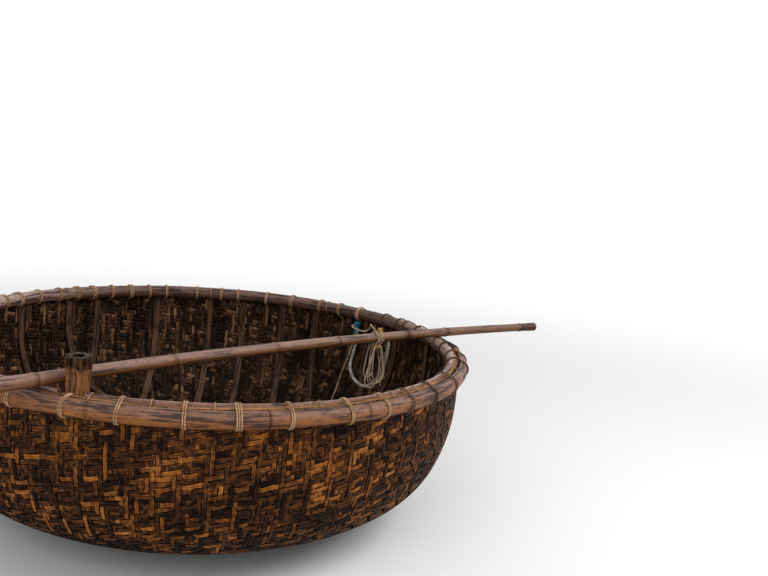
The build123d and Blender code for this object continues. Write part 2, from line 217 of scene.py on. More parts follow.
# The middle of the inner hoop's stretch on the far side that is painted dark as shade, and how far it reaches
# each way before it fades, in degrees
FAR_SHADE, FAR_SHADE_REACH = 85, 40

# The laths' outer faces in mm, with their joints in degrees
LATHS = ((961.2, -147), (954.1, -32))

# Ribs as shares of the hull's radius, with how far their outer face lies inside the hull, in mm
RIBS = (
    ("long", (-0.66, -0.4175, -0.171, -0.006, 0.193, 0.366, 0.6185), 8.8),
    ("cross", (-0.642, -0.4125, -0.206, 0, 0.206, 0.4125, 0.627), 13.1),
)

# The weave: a twill that repeats after five crossings, over three of them
TWILL = 5
WEAVER_FLOAT = 3


# Section of the hull
def hull_profile(inset, steps=160):
    """Rows of arc length, reach, height and outward normal, from the middle of the bottom to the rim."""
    side = (HULL_RADIUS - SIDE_RADIUS, WALL_TOP - STRAIGHT_SIDE)
    turn = SIDE_RADIUS - BILGE_RADIUS
    bilge = (side[0] + turn * cos(SIDE_ANGLE), side[1] - turn * sin(SIDE_ANGLE))
    turn = BILGE_RADIUS - FLOOR_RADIUS
    rows = [(0.0, inset, 0.0, -1.0)]
    for (across, high), radius, last, first in (
        ((bilge[0] + turn * cos(BILGE_ANGLE), FLOOR_RADIUS), FLOOR_RADIUS, BILGE_ANGLE, pi / 2),
        (bilge, BILGE_RADIUS, SIDE_ANGLE, BILGE_ANGLE),
        (side, SIDE_RADIUS, 0, SIDE_ANGLE),
    ):
        reach = radius - inset
        for angle in np.linspace(first, last, steps)[:-1]:
            rows.append((across + reach * cos(angle), high - reach * sin(angle), cos(angle), -sin(angle)))
    rows += [(HULL_RADIUS - inset, height, 1.0, 0.0) for height in (side[1], WALL_TOP)]
    rows = np.array(rows)
    return np.column_stack([lengths(rows[:, :2]), rows])


def read(profile, known, value, *wanted):
    """Columns of a profile, read where its known column has a value."""
    return [np.interp(value, profile[:, known], profile[:, column]) for column in wanted]


LENGTH, REACH, HEIGHT, OUT, RISE = range(5)
MIDDLE_SKIN = hull_profile(WALL / 2)


def on_hull(along, angle, shift):
    """Points and outward normals on the hull at an arc length and an angle, moved outward by shift."""
    reach, height, out, up = read(MIDDLE_SKIN, LENGTH, along, REACH, HEIGHT, OUT, RISE)
    normal = polar(out, angle, up)
    return polar(reach, angle, height) + normal * shift[..., None], normal


# Meshes from arrays
def placed(name, data):
    """A new object of the scene with this data."""
    thing = bpy.data.objects.new(name, data)
    bpy.context.scene.collection.objects.link(thing)
    return thing


class Shape:
    """Points, faces and named values of a mesh that grows tube by tube."""

    def __init__(self):
        self.points = []
        self.faces = []
        self.values = {}
        self.count = 0

    def grid(self, rings, loop=False, **values):
        """Adds a tube whose rings are rows of points; loop joins its last ring to its first."""
        rows, sides = rings.shape[:2]
        index = np.arange(rows * sides).reshape(rows, sides)
        low = index if loop else index[:-1]
        high = np.roll(index, -1, axis=0) if loop else index[1:]
        groups = [np.stack([low, np.roll(low, -1, 1), np.roll(high, -1, 1), high], -1).reshape(-1, 4)]
        if not loop:
            groups.append(np.stack([index[0, ::-1], index[-1]]))
        flat = rings.reshape(-1, 3)
        shifted = flat - flat.mean(axis=0)
        volume = 0.0
        for group in groups:
            corners = shifted[group]
            for corner in range(1, group.shape[1] - 1):
                volume += (corners[:, 0] * np.cross(corners[:, corner], corners[:, corner + 1])).sum()
        for group in groups:
            self.faces.append((group[:, ::-1] if volume < 0 else group) + self.count)
        self.points.append(flat)
        for name, value in values.items():
            value = np.asarray(value, float)
            if value.ndim == 1:
                value = value[:, None]
            self.values.setdefault(name, []).append(np.broadcast_to(value, (rows, sides)).reshape(-1))
        self.count += len(flat)

    def build(self, name, look, slot, *nodes, smooth=True, edge=None):
        """Makes the piece with its look as material, ties it to the boat and hides the nodes that it stands
        for; slot is not used.

        With an edge angle, sharper edges stay crisp.
        """
        mesh = bpy.data.meshes.new(name)
        points = np.concatenate(self.points)
        loops = np.concatenate([group.ravel() for group in self.faces])
        sizes = np.concatenate([np.full(len(group), group.shape[1]) for group in self.faces])
        mesh.vertices.add(len(points))
        mesh.vertices.foreach_set("co", points.astype(np.float32).ravel())
        mesh.loops.add(len(loops))
        mesh.loops.foreach_set("vertex_index", loops.astype(np.int32))
        mesh.polygons.add(len(sizes))
        mesh.polygons.foreach_set("loop_start", np.r_[0, np.cumsum(sizes)[:-1]].astype(np.int32))
        mesh.polygons.foreach_set("use_smooth", np.full(len(sizes), smooth))
        mesh.update(calc_edges=True)
        mesh.validate()
        for key, parts in self.values.items():
            attribute = mesh.attributes.new(key, "FLOAT", "POINT")
            attribute.data.foreach_set("value", np.concatenate(parts).astype(np.float32))
        if edge:
            mesh.set_sharp_from_angle(angle=edge)
        mesh.materials.append(look)
        thing = placed(name, mesh)
        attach(thing, "root")
        if nodes:
            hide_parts(*nodes)
        return thing


# Node materials
def tint(red, green, blue):
    """A colour from its screen values, 0 to 255, as shaders take it."""
    return tuple((value / 255) ** 2.2 for value in (red, green, blue)) + (1.0,)


def connect(tree, node, inputs):
    """Links or sets inputs of a node."""
    for key, value in dict(inputs).items():
        if isinstance(value, bpy.types.NodeSocket):
            tree.links.new(value, node.inputs[key])
        else:
            node.inputs[key].default_value = value


def add_node(tree, kind, inputs=(), **settings):
    """A new node with its settings and its inputs."""
    made = tree.nodes.new(kind)
    for key, value in settings.items():
        setattr(made, key, value)
    connect(tree, made, inputs)
    return made


class Look:
    """A node material that is built step by step."""

    def __init__(self, name, roughness, shine):
        self.material = bpy.data.materials.new(name)
        self.material.use_nodes = True
        self.tree = self.material.node_tree
        self.shader = self.tree.nodes["Principled BSDF"]
        self.surface({"Roughness": roughness, "Specular IOR Level": shine})

    def surface(self, inputs):
        """Links or sets inputs of the surface."""
        connect(self.tree, self.shader, inputs)

    def node(self, kind, inputs=(), **settings):
        """A new node of this material."""
        return add_node(self.tree, "ShaderNode" + kind, inputs, **settings)

    def value(self, name):
        """A named value of the mesh."""
        return self.node("Attribute", attribute_name=name).outputs["Fac"]

    def place(self, scale=(1, 1, 1)):
        """The point in the boat's own frame, stretched by scale."""
        spot = self.node("TexCoord").outputs["Object"]
        return self.node("Mapping", {"Vector": spot, "Scale": scale}).outputs[0]

    def noise(self, vector, scale, detail=3.0, roughness=0.55):
        """Noise from 0 to 1."""
        inputs = {"Vector": vector, "Scale": scale, "Detail": detail, "Roughness": roughness}
        return self.node("TexNoise", inputs).outputs["Fac"]

    def math(self, kind, first, second=0.0):
        """One step of arithmetic."""
        return self.node("Math", {0: first, 1: second}, operation=kind).outputs[0]

    def plus(self, first, second):
        """The sum of two values."""
        return self.math("ADD", first, second)

    def less(self, first, second):
        """The first value without the second."""
        return self.math("SUBTRACT", first, second)

    def times(self, first, second):
        """The product of two values."""
        return self.math("MULTIPLY", first, second)

    def stretch(self, value, low, high, start=0.0, end=1.0):
        """The value with low to high spread over start to end."""
        inputs = {"Value": value, "From Min": low, "From Max": high, "To Min": start, "To Max": end}
        return self.node("MapRange", inputs).outputs[0]

    def ramp(self, value, *stops):
        """A colour ramp; each stop is a place and a colour."""
        made = self.node("ValToRGB", {"Fac": value})
        elements = made.color_ramp.elements
        while len(elements) < len(stops):
            elements.new(0.5)
        for element, (place, colour) in zip(elements, stops):
            element.position = place
            element.color = colour
        return made.outputs["Color"]

    def mix(self, share, first, second):
        """Two colours mixed by a share."""
        return self.node("Mix", {0: share, 6: first, 7: second}, data_type="RGBA").outputs[2]

    def paint(self, colour, relief, depth, strength):
        """Puts the colour, and the relief as a bump, on the surface."""
        bump = self.node("Bump", {"Height": relief, "Distance": depth, "Strength": strength})
        self.surface({"Base Color": colour, "Normal": bump.outputs[0]})
        return self.material


def weave_look(settings):
    """Tarred splints: near black, worn to brown and amber in patches and along their edges; the edges also
    carry a painted highlight and painted shade, and the splints carry painted shade towards the bottom of the
    hull.
    """
    look = Look("woven_splints", roughness=0.55, shine=0.06)
    tone = look.value("tone")
    parts = {0: look.times(look.value("along"), 7.0), 1: look.value("across"), 2: tone}
    fibre = look.noise(look.node("CombineXYZ", parts).outputs[0], 4.0, 5.0, 0.65)
    patch = look.noise(look.place(), 7.0, 3.0)
    spot = look.noise(look.place(), 75.0, 4.0, 0.6)
    level = look.times(tone, 0.6)
    for part, spread in ((patch, 0.3), (fibre, 0.5), (spot, 0.2)):
        level = look.plus(level, look.stretch(part, 0.3, 0.7, -spread / 2, spread / 2))
    side = look.math("ABSOLUTE", look.value("edge"))
    # Painted light at the splints' edges: the band inside each edge is lighter where the spots allow, partly
    # rubbed wear and partly painted highlight; the outermost edge is darker as painted shade between the
    # splints.
    worn = look.times(look.stretch(side, 0.55, 0.8, 0.0, 0.3), look.stretch(spot, 0.42, 0.62))
    level = look.less(look.plus(level, worn), look.stretch(side, 0.82, 1.0, 0.0, 0.5))
    # Painted shade: the splints darken towards the bottom of the hull, where shade falls.
    point = look.node("NewGeometry").outputs
    height = look.node("SeparateXYZ", {0: point["Position"]}).outputs["Z"]
    level = look.less(level, look.stretch(height, 0.04, 0.26, 0.2, 0.0))
    outside = look.ramp(level, (0.05, settings.dark_splint), (0.33, settings.brown_splint),
                        (0.66, settings.amber_splint), (0.9, settings.pale_splint))
    inside = look.ramp(level, (0.0, tint(16, 11, 8)), (0.25, tint(46, 31, 22)),
                       (0.5, tint(92, 64, 45)), (0.8, tint(152, 114, 80)))
    away = look.node("VectorMath", {0: point["Position"], 1: (0, 0, 0.6)}, operation="SUBTRACT").outputs[0]
    facing = look.node("VectorMath", {0: away, 1: point["Normal"]}, operation="DOT_PRODUCT").outputs["Value"]
    colour = look.mix(look.stretch(facing, -0.12, 0.12), inside, outside)
    relief = look.plus(fibre, look.times(spot, 0.5))
    crown = look.times(look.times(side, side), 1.1)
    look.surface({"Roughness": look.stretch(spot, 0.3, 0.7, 0.4, 0.75)})
    return look.paint(colour, look.less(relief, crown), depth=0.0016, strength=0.8)


def resin_look():
    """The dark resin skin between the splints."""
    look = Look("dark_resin", roughness=0.7, shine=0.15)
    spot = look.noise(look.place(), 40.0, 4.0)
    colour = look.ramp(spot, (0.2, tint(9, 7, 6)), (0.8, tint(26, 18, 13)))
    return look.paint(colour, spot, depth=0.002, strength=0.5)


def bamboo_look(name, top, body, lit, stain, stains, roughness, mark=None):
    """Split or whole bamboo: an aged top, a warm underside that stands partly for warm reflected light,
    fibres whose lit colour is a painted sunlit highlight, stains and cracks.
    """
    look = Look(name, roughness, shine=0.22)
    along, around, tone, node = (look.value(key) for key in ("along", "around", "tone", "node"))

    def grain(along_scale, around_scale, *noise):
        """Noise that is drawn out along the fibres."""
        parts = {0: look.times(along, along_scale), 1: look.times(around, around_scale), 2: tone}
        return look.noise(look.node("CombineXYZ", parts).outputs[0], *noise)

    fibre = grain(6.0, 46.0, 2.6, 5.0, 0.6)
    blotch = grain(2.6, 2.6, 2.6, 5.0, 0.62)
    cloud = grain(2.4, 4.0, 2.2, 6.0, 0.68)
    crack = look.stretch(grain(3.0, 30.0, 3.1, 3.0), 0.655, 0.71)
    speck = look.noise(look.place(), 120.0, 3.0, 0.6)
    dark = look.stretch(look.plus(blotch, cloud), 1.17 - 0.2 * stains, 1.23 - 0.2 * stains)
    grime = look.noise(look.place(), 60.0, 5.0, 0.7)
    up = look.node("SeparateXYZ", {0: look.node("NewGeometry").outputs["Normal"]}).outputs["Z"]
    up = look.plus(up, look.stretch(blotch, 0.3, 0.7, -0.35, 0.35))
    # Painted light: the lit colour is a painted sunlit highlight laid into the fibre streaks, and the warm
    # underside stands partly for warm reflected light; the top colour on upward faces is the aged upper face.
    warm = look.mix(look.stretch(fibre, 0.3, 0.7), body, lit)
    colour = look.mix(look.stretch(up, -0.25, 0.65), warm, top)
    for share, shade in (
        (look.times(dark, 0.86), stain),
        (look.stretch(grime, 0.4, 0.72, 0.0, 0.4), stain),
        (look.times(crack, 0.8), tint(30, 22, 18)),
        (look.stretch(speck, 0.62, 0.75, 0, 0.6), tint(62, 46, 36)),
        # The node value carries the node marks and also painted shade: the inner hoop's far side, the pole's
        # thin end and the post's hollow.
        (look.stretch(node, 0, 1, 0, 1.0 if mark else 0.8), mark or tint(46, 32, 24)),
    ):
        colour = look.mix(share, colour, shade)
    look.surface({
        "Specular IOR Level": look.stretch(node, 0, 1, 0.22, 0.03),
        "Roughness": look.stretch(blotch, 0.3, 0.7, roughness - 0.08, roughness + 0.25),
    })
    relief = look.less(look.times(fibre, 0.6), crack)
    return look.paint(colour, relief, depth=0.0012, strength=0.55)


def cord_look(name, pale, grey, dark):
    """Twisted cord; its tone runs from pale to dark, with painted shade in the grooves of the twist."""
    look = Look(name, roughness=0.8, shine=0.2)
    tone = look.value("tone")
    ply = look.plus(look.value("along"), look.value("around"))
    wave = look.math("SINE", look.times(ply, 2 * pi))
    speck = look.noise(look.place(), 240.0, 3.0)
    patch = look.noise(look.place(), 22.0, 3.0)
    colour = look.mix(look.stretch(patch, 0.35, 0.65), pale, grey)
    colour = look.mix(tone, colour, dark)
    # Painted shade: the cord darkens along the grooves of its twist.
    colour = look.mix(look.stretch(wave, -1, 0.2, 0.45, 0), colour, tint(46, 34, 26))
    colour = look.mix(look.stretch(speck, 0.5, 0.8, 0, 0.5), colour, tint(70, 54, 42))
    relief = look.plus(look.times(wave, 0.6), speck)
    return look.paint(colour, relief, depth=0.0012, strength=0.8)


def pale_look(name, settings):
    """The pale cord of the tether, the hank and the turns."""
    return cord_look(name, settings.pale_cord, tint(160, 140, 120), tint(66, 48, 36))


def cloth_look(colour):
    """The faded cloth of the rag."""
    look = Look("turquoise_rag", roughness=0.85, shine=0.15)
    patch = look.noise(look.place(), 55.0, 4.0)
    thread = look.noise(look.place((1, 1, 5)), 260.0, 2.0)
    faded = look.ramp(patch, (0.3, tint(10, 62, 84)), (0.55, colour), (0.75, tint(70, 150, 158)))
    return look.paint(faded, thread, depth=0.0008, strength=0.6)


def floor_look(pale):
    """The pale floor, which turns to plain white for the camera far from the boat."""
    look = Look("pale_floor", roughness=0.9, shine=0.1)
    look.surface({"Base Color": (pale,) * 3 + (1,)})
    far = look.node("VectorMath", {0: look.place()}, operation="LENGTH").outputs["Value"]
    edge = {"Value": far, "From Min": 1.6, "From Max": 6.0}
    share = look.node("MapRange", edge, interpolation_type="SMOOTHSTEP").outputs[0]
    seen = look.node("LightPath").outputs["Is Camera Ray"]
    white = look.node("Emission", {"Color": (1, 1, 1, 1), "Strength": 1.0}).outputs[0]
    mixed = look.node("MixShader", {0: look.times(share, seen), 1: look.shader.outputs[0], 2: white})
    connect(look.tree, look.tree.nodes["Material Output"], {"Surface": mixed.outputs[0]})
    return look.material


# Hull
def weave_pattern(stakes, courses, seed, slips):
    """Whether the weaver lies outside at each crossing, with some slips in the twill."""
    chance = np.random.default_rng(seed)
    rows = np.cumsum(chance.choice([1, 1, -1], courses))[None]
    outside = ((np.arange(stakes)[:, None] + rows) % TWILL) < WEAVER_FLOAT
    return np.where(chance.random((stakes, courses)) < slips, ~outside, outside)


def add_splint(shape, line, normal, width, thickness, over, bright, chance):
    """Adds one flat splint; each stretch that stays on the same side has its own tone."""
    group = np.cumsum(np.r_[True, over[1:] != over[:-1]]) - 1
    tones = chance.beta(1.8, 2.8, group[-1] + 1)
    flare = chance.random(group[-1] + 1) < bright
    tones = np.where(flare, chance.uniform(0.65, 1.0, len(tones)), tones * 0.9)
    shade = chance.uniform(-0.07, 0.07)
    corners = np.array([(-1, -1), (1, -1), (1, 1), (-1, 1)])
    section = corners * columns(width, np.full(len(line), thickness))[:, None] / 2
    edge = corners[None, :, 0]
    shape.grid(
        tube_rings(line, section, normal),
        tone=np.clip(tones[group] + shade, 0, 1),
        along=lengths(line) + chance.uniform(0, 9),
        across=edge + chance.uniform(0, 90),
        edge=edge,
    )


def build_side(settings, look):
    """The woven side: upright stakes and slanting courses from the bilge to the rim."""
    stakes, pitch = settings.stakes, settings.course_pitch
    shift, thickness = settings.relief, settings.thickness
    starts = TWILL * round(tan(settings.course_slope) * 2 * pi * RIM_REACH / pitch / TWILL)
    low = read(MIDDLE_SKIN, REACH, SIDE_START, LENGTH)[0]
    high = MIDDLE_SKIN[-1, LENGTH] - 1.5 * MM
    courses = ceil((high - low) / pitch)
    total = courses + starts
    outside = weave_pattern(stakes, total, settings.seed, settings.slips)
    chance = np.random.default_rng(settings.seed + 1)
    course_jitter = chance.uniform(-0.09, 0.09, (stakes, total)) * pitch
    stake_jitter = chance.uniform(-0.07, 0.07, (stakes, total)) * 2 * pi / stakes
    weavers, uprights = Shape(), Shape()
    for thread in range(-starts, courses):
        along = low + pitch * (thread + starts * np.arange(stakes + 1) / stakes)
        picked = np.nonzero((along >= low) & (along <= high))[0]
        if len(picked) < 4:
            continue
        course = (thread + starts * (picked == stakes) + starts) % total
        over = outside[picked % stakes, course]
        place = np.minimum(along[picked] + course_jitter[picked % stakes, course], high)
        line, normal = on_hull(place, 2 * pi * picked / stakes, np.where(over, shift, -shift))
        width = pitch * chance.uniform(0.78, 0.93)
        add_splint(weavers, line, normal, width, thickness, over, bright=0.12, chance=chance)
    for stake in range(stakes):
        thread = np.arange(-starts, courses)
        along = low + pitch * (thread + starts * stake / stakes)
        inside = (along >= low) & (along <= high)
        course = (thread[inside] + starts) % total
        over = ~outside[stake, course]
        angle = 2 * pi * stake / stakes + stake_jitter[stake, course]
        line, normal = on_hull(along[inside], angle, np.where(over, shift, -shift))
        width = 2 * pi * np.hypot(line[:, 0], line[:, 1]) / stakes * chance.uniform(0.74, 0.9)
        add_splint(uprights, line, normal, width, thickness, over, bright=0.14, chance=chance)
    weavers.build("side_courses", look, "woven_hull", smooth=False)
    uprights.build("side_stakes", look, "woven_hull", smooth=False)


def build_mat(settings, look):
    """The woven mat of the bottom, in two directions."""
    pitch, side = settings.mat_pitch, settings.relief * 0.9
    rows = int(MAT_REACH / pitch)
    chance = np.random.default_rng(settings.seed + 2)
    places = np.arange(-rows, rows + 1)
    outside = weave_pattern(len(places), len(places), settings.seed + 3, settings.slips)
    shape = Shape()
    for pattern, way in ((outside, 1), (~outside.T, -1)):
        for row, place in enumerate(places):
            inside = np.hypot(place * pitch, places * pitch) < MAT_REACH
            if inside.sum() < 4:
                continue
            over = pattern[row][inside]
            other = places[inside] * pitch
            own = place * pitch + chance.uniform(-0.06, 0.06, len(other)) * pitch
            x, y = (own, other)[::way]
            along = read(MIDDLE_SKIN, REACH, np.hypot(x, y), LENGTH)[0]
            line, normal = on_hull(along, np.arctan2(y, x), np.where(over, side, -side))
            width = pitch * chance.uniform(0.86, 0.96)
            add_splint(shape, line, normal, width, settings.thickness, over, bright=0.1, chance=chance)
    shape.build("bottom_mat", look, "woven_hull", smooth=False)


def build_core(look):
    """The resin skin that closes the gaps of the weave."""
    shape = Shape()
    half = 0.8 * MM
    around = np.linspace(0, 2 * pi, 145)[:-1]
    picked = MIDDLE_SKIN[np.unique(np.linspace(0, len(MIDDLE_SKIN) - 1, 60).astype(int))[1:]]
    middle = columns(picked[:, REACH], np.minimum(picked[:, HEIGHT], WALL_TOP - 1 * MM))
    away = half * picked[:, [OUT, RISE]]
    reach, height = np.concatenate([middle + away, (middle - away)[::-1]]).T
    shape.grid(polar(reach, around[:, None], height), loop=True)
    shape.grid(np.stack([polar(picked[0, REACH], around, WALL / 2 + side) for side in (-half, half)]))
    shape.build("resin_skin", look, "woven_hull", "hull_shell")


# Rim
def add_hoop_piece(shape, hoop, start, end, scarfs, settings, chance):
    """Adds one piece of a hoop between two angles, with its scarfed ends and the nodes on its way."""
    face, middle, depth, radius, side, nodes = hoop
    sides = settings.hoop_sides
    middle_reach = face + side * depth / 2
    spare = depth / 2 / sin(SCARF_SLOPE) / middle_reach + radians(2)
    first, last = start - spare * scarfs[0], end + spare * scarfs[1]
    places = np.linspace(first, last, ceil((last - first) * middle_reach / settings.hoop_step))
    distance = places * middle_reach
    half = acos((radius - depth) / radius)
    hub = face + side * (depth - radius)
    section = (hub, middle) + round_points(np.linspace(-half, half, sides)) * (side * radius, radius)
    swell = bumps(places, nodes, middle_reach, 3.2 * MM)
    notch = bumps(places, [node + 0.55 for node in nodes], middle_reach, 2.4 * MM)
    wander = waves(chance, distance, 0.7 * MM, (0.37, 0.91, 1.7))
    scale = 1 + ((swell * 1.8 - notch * 0.9) * MM + wander) / depth
    rows = (face, middle) + (section - (face, middle)) * scale[:, None, None]
    reach = rows[..., 0]
    height = rows[..., 1] + waves(chance, distance, 0.8 * MM, (0.53, 1.31))[:, None]
    joint = 0.25 * MM
    for angle, way, scarfed in ((start, 1, scarfs[0]), (end, -1, scarfs[1])):
        if not scarfed:
            continue
        plane = middle_reach + tan(SCARF_SLOPE) * (places - angle) * middle_reach
        near = (np.abs(places - angle) < 2.5 * spare)[:, None]
        if way == side:
            limit = (plane - way * joint)[:, None]
            cut = np.minimum(reach, limit) if way > 0 else np.maximum(reach, limit)
            low, high = sorted((face, face + side * (depth + 3 * MM)))
            reach = np.where(near, np.clip(cut, low, high), reach)
        else:
            share = np.clip((side * (plane - hub) + joint) / radius, cos(half), 0.9995)
            turns = np.linspace(-1, 1, sides)[None] * np.arccos(share)[:, None]
            reach = np.where(near, hub + side * radius * np.cos(turns), reach)
            height = np.where(near, middle + radius * np.sin(turns), height)
    marks = np.clip(swell * 0.5 + notch, 0, 1)
    # Painted shade: on the far side the inner hoop's node value is raised, so the hoop turns dark where it
    # lies in shade.
    if side < 0:
        far = np.clip(2 - np.abs(np.degrees(places) % 360 - FAR_SHADE) / FAR_SHADE_REACH, 0, 1)
        marks = np.maximum(marks, 0.85 * far)
    shape.grid(polar(reach, places[:, None], height), along=distance, around=np.linspace(0, 1, sides)[None],
               tone=chance.uniform(0, 9), node=marks)


def build_hoops(settings, look_outer, look_inner):
    """Both hoops of split bamboo; the inner one stops on each side of the post."""
    chance = np.random.default_rng(settings.seed + 4)
    gap = asin((POST_RADIUS + 1.5 * MM) / (INNER_FACE - INNER_DEPTH))
    outer, inner = Shape(), Shape()
    for piece in range(3):
        start, end = (radians(12) + number * 2 * pi / 3 for number in (piece, piece + 1))
        add_hoop_piece(outer, OUTER_HOOP, start, end, (True, True), settings, chance)
        start = POST_ANGLE + piece * 2 * pi / 3 + gap * (piece == 0)
        end = POST_ANGLE + (piece + 1) * 2 * pi / 3 - gap * (piece == 2)
        add_hoop_piece(inner, INNER_HOOP, start, end, (piece > 0, piece < 2), settings, chance)
    for side, shape, look in (("outer", outer, look_outer), ("inner", inner, look_inner)):
        nodes = [f"{side}_hoop_{number}" for number in (1, 2, 3)]
        shape.build(f"{side}_rim_hoop", look, "hoop_bamboo", *nodes, edge=radians(50))


def build_laths(look):
    """The two thin laths between the wall and the inner hoop."""
    bottom, top = (corner[2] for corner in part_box("lath_1"))
    gap, steps, thickness = 0.002, 700, 6.4 * MM
    for number, (face, joint) in enumerate(LATHS, 1):
        chance = np.random.default_rng(70 + number)
        places = np.linspace(radians(joint) + gap, radians(joint) + 2 * pi - gap, steps)
        outer = face * MM - 0.2 * MM
        thin = outer - thickness + waves(chance, places, 0.3 * MM, (0.4, 1.1))
        rise = top + waves(chance, places, 1.1 * MM, (0.5, 1.3)) - 0.9 * MM
        reach = columns(outer, outer, thin + 0.8 * MM, thin)
        height = columns(bottom, rise - 0.8 * MM, rise, bottom)
        marks = bumps(places, [joint + 25 * k + 7 * number for k in range(14)], face * MM, 3 * MM)
        shape = Shape()
        shape.grid(polar(reach, places[:, None], height), along=places * RIM_REACH,
                   around=[[0, 0.5, 0.6, 1.0]], tone=3.1 * number, node=marks * 0.6)
        shape.build(f"rim_lath_{number}", look, "lath_bamboo", f"lath_{number}", smooth=False)


def build_ribs(look):
    """The slats that cross the inside in two directions."""
    corners = np.array([(-1, -1), (1, -1), (1, 0.4), (0.86, 1), (-0.86, 1), (-1, 0.4)])
    around = [[0, 0.3, 0.4, 0.5, 0.8, 1.0]]
    node_gap, node_width = 0.34, 0.012
    for group, shares, inset in RIBS:
        profile = hull_profile((inset + 2.4) * MM)
        step = np.linspace(profile[0, LENGTH], profile[-1, LENGTH], 900)
        all_reach, all_height = read(profile, LENGTH, step, REACH, HEIGHT)
        for number, share in enumerate(shares, 1):
            chance = np.random.default_rng(int(1000 + 300 * share + inset))
            place = share * HULL_RADIUS
            keep = (all_reach > abs(place)) & (all_height < WALL_TOP - 24.6 * MM)
            half = columns(place, np.sqrt(all_reach[keep] ** 2 - place**2), all_height[keep])
            line = resampled(np.concatenate([half[::-1] * (1, -1, 1), half]), 0.02)
            reach = np.hypot(line[:, 0], line[:, 1])
            flat = line[:, 2] < profile[0, HEIGHT] + 1e-4
            along = np.where(flat, reach, read(profile, HEIGHT, line[:, 2], LENGTH)[0])
            out, up = read(profile, LENGTH, along, OUT, RISE)
            shrink = out / np.maximum(reach, 1e-6)
            normal = columns(shrink * line[:, 0], shrink * line[:, 1], up)
            if group == "cross":
                line, normal = line[:, [1, 0, 2]], normal[:, [1, 0, 2]]
            distance = lengths(line)
            width = 13.6 * MM + waves(chance, distance, 0.9 * MM, (0.31, 0.83))
            nodes = np.arange(chance.uniform(0.05, 0.3), distance[-1], node_gap)
            marks = sum(bell(distance - node, node_width) for node in nodes)
            section = corners * columns(width, -(2.0 + 0.5 * marks) * MM)[:, None]
            shape = Shape()
            shape.grid(tube_rings(line, section, normal), along=distance, around=around,
                       tone=chance.uniform(0, 9), node=np.clip(marks, 0, 1) * 0.7)
            name = f"{group}_{number}"
            shape.build(f"slat_{name}", look, "rib_bamboo", f"rib_{name}", smooth=False)


# Lashings
def rim_outline(spare):
    """The line of a cord drawn tight round both hoops, as rows of reach and height."""
    run = INNER_HUB - OUTER_HUB
    high = atan2(-run[0], run[1])
    turns = round_points(np.linspace(high - pi, high, 11))
    return np.concatenate([OUTER_HUB + (OUTER_ARC + spare) * turns, INNER_HUB - (INNER_ARC + spare) * turns])


def add_strand(shape, outline, angle, offset, slant, thick, tone, chance):
    """Adds one turn of cord round the rim at an angle, moved and slanted along the rim."""
    wobble = chance.uniform(-0.5, 0.5, len(outline)) * MM
    spread = offset + slant * np.cos(2 * pi * ring(len(outline))[0]) + wobble
    line = polar(outline[:, 0], angle + spread / outline[:, 0], outline[:, 1])
    add_closed_tube(shape, line, circle(6, thick / 2), (-sin(angle), cos(angle), 0),
                    along=lengths(line) / (thick * 2.2), around=ring(6), tone=tone)


def add_closed_tube(shape, line, section, up, **values):
    """Adds a tube whose end meets its start."""
    padded = np.concatenate([line[-1:], line, line[:1]])
    if section.ndim == 3:
        section = np.concatenate([section[-1:], section, section[:1]])
    shape.grid(tube_rings(padded, section, up)[1:-1], loop=True, **values)


def build_small_ties(settings, look):
    """Thin two-turn ties over the inner hoop and the laths."""
    chance = np.random.default_rng(settings.seed + 8)
    thick = 3.0 * MM
    turns = round_points(np.linspace(radians(262), radians(100), 14))
    arc = INNER_HUB + (INNER_ARC + thick / 2 + 0.8 * MM) * turns
    drops = [(953 * MM, INNER_TOP - 3 * MM), (961 * MM, INNER_TOP - 8 * MM), (966 * MM, WALL_TOP - 1 * MM)]
    reach, height = resampled(np.concatenate([arc, drops]), 0.006).T
    shape = Shape()
    for angle in SMALL_TIES:
        for strand in (-0.6, 0.6):
            wander = (strand * thick * 1.2 + chance.uniform(-0.8, 0.8) * MM) / RIM_REACH
            lean = np.linspace(0, chance.uniform(-2, 2) * MM, len(reach)) / RIM_REACH
            line = polar(reach, radians(angle) + wander + lean, height)
            up = (-sin(radians(angle)), cos(radians(angle)), 0)
            shape.grid(tube_rings(line, circle(6, thick / 2), up), along=lengths(line) / 0.007,
                       around=ring(6), tone=0.35)
    shape.build("small_ties", look, "pale_cord")


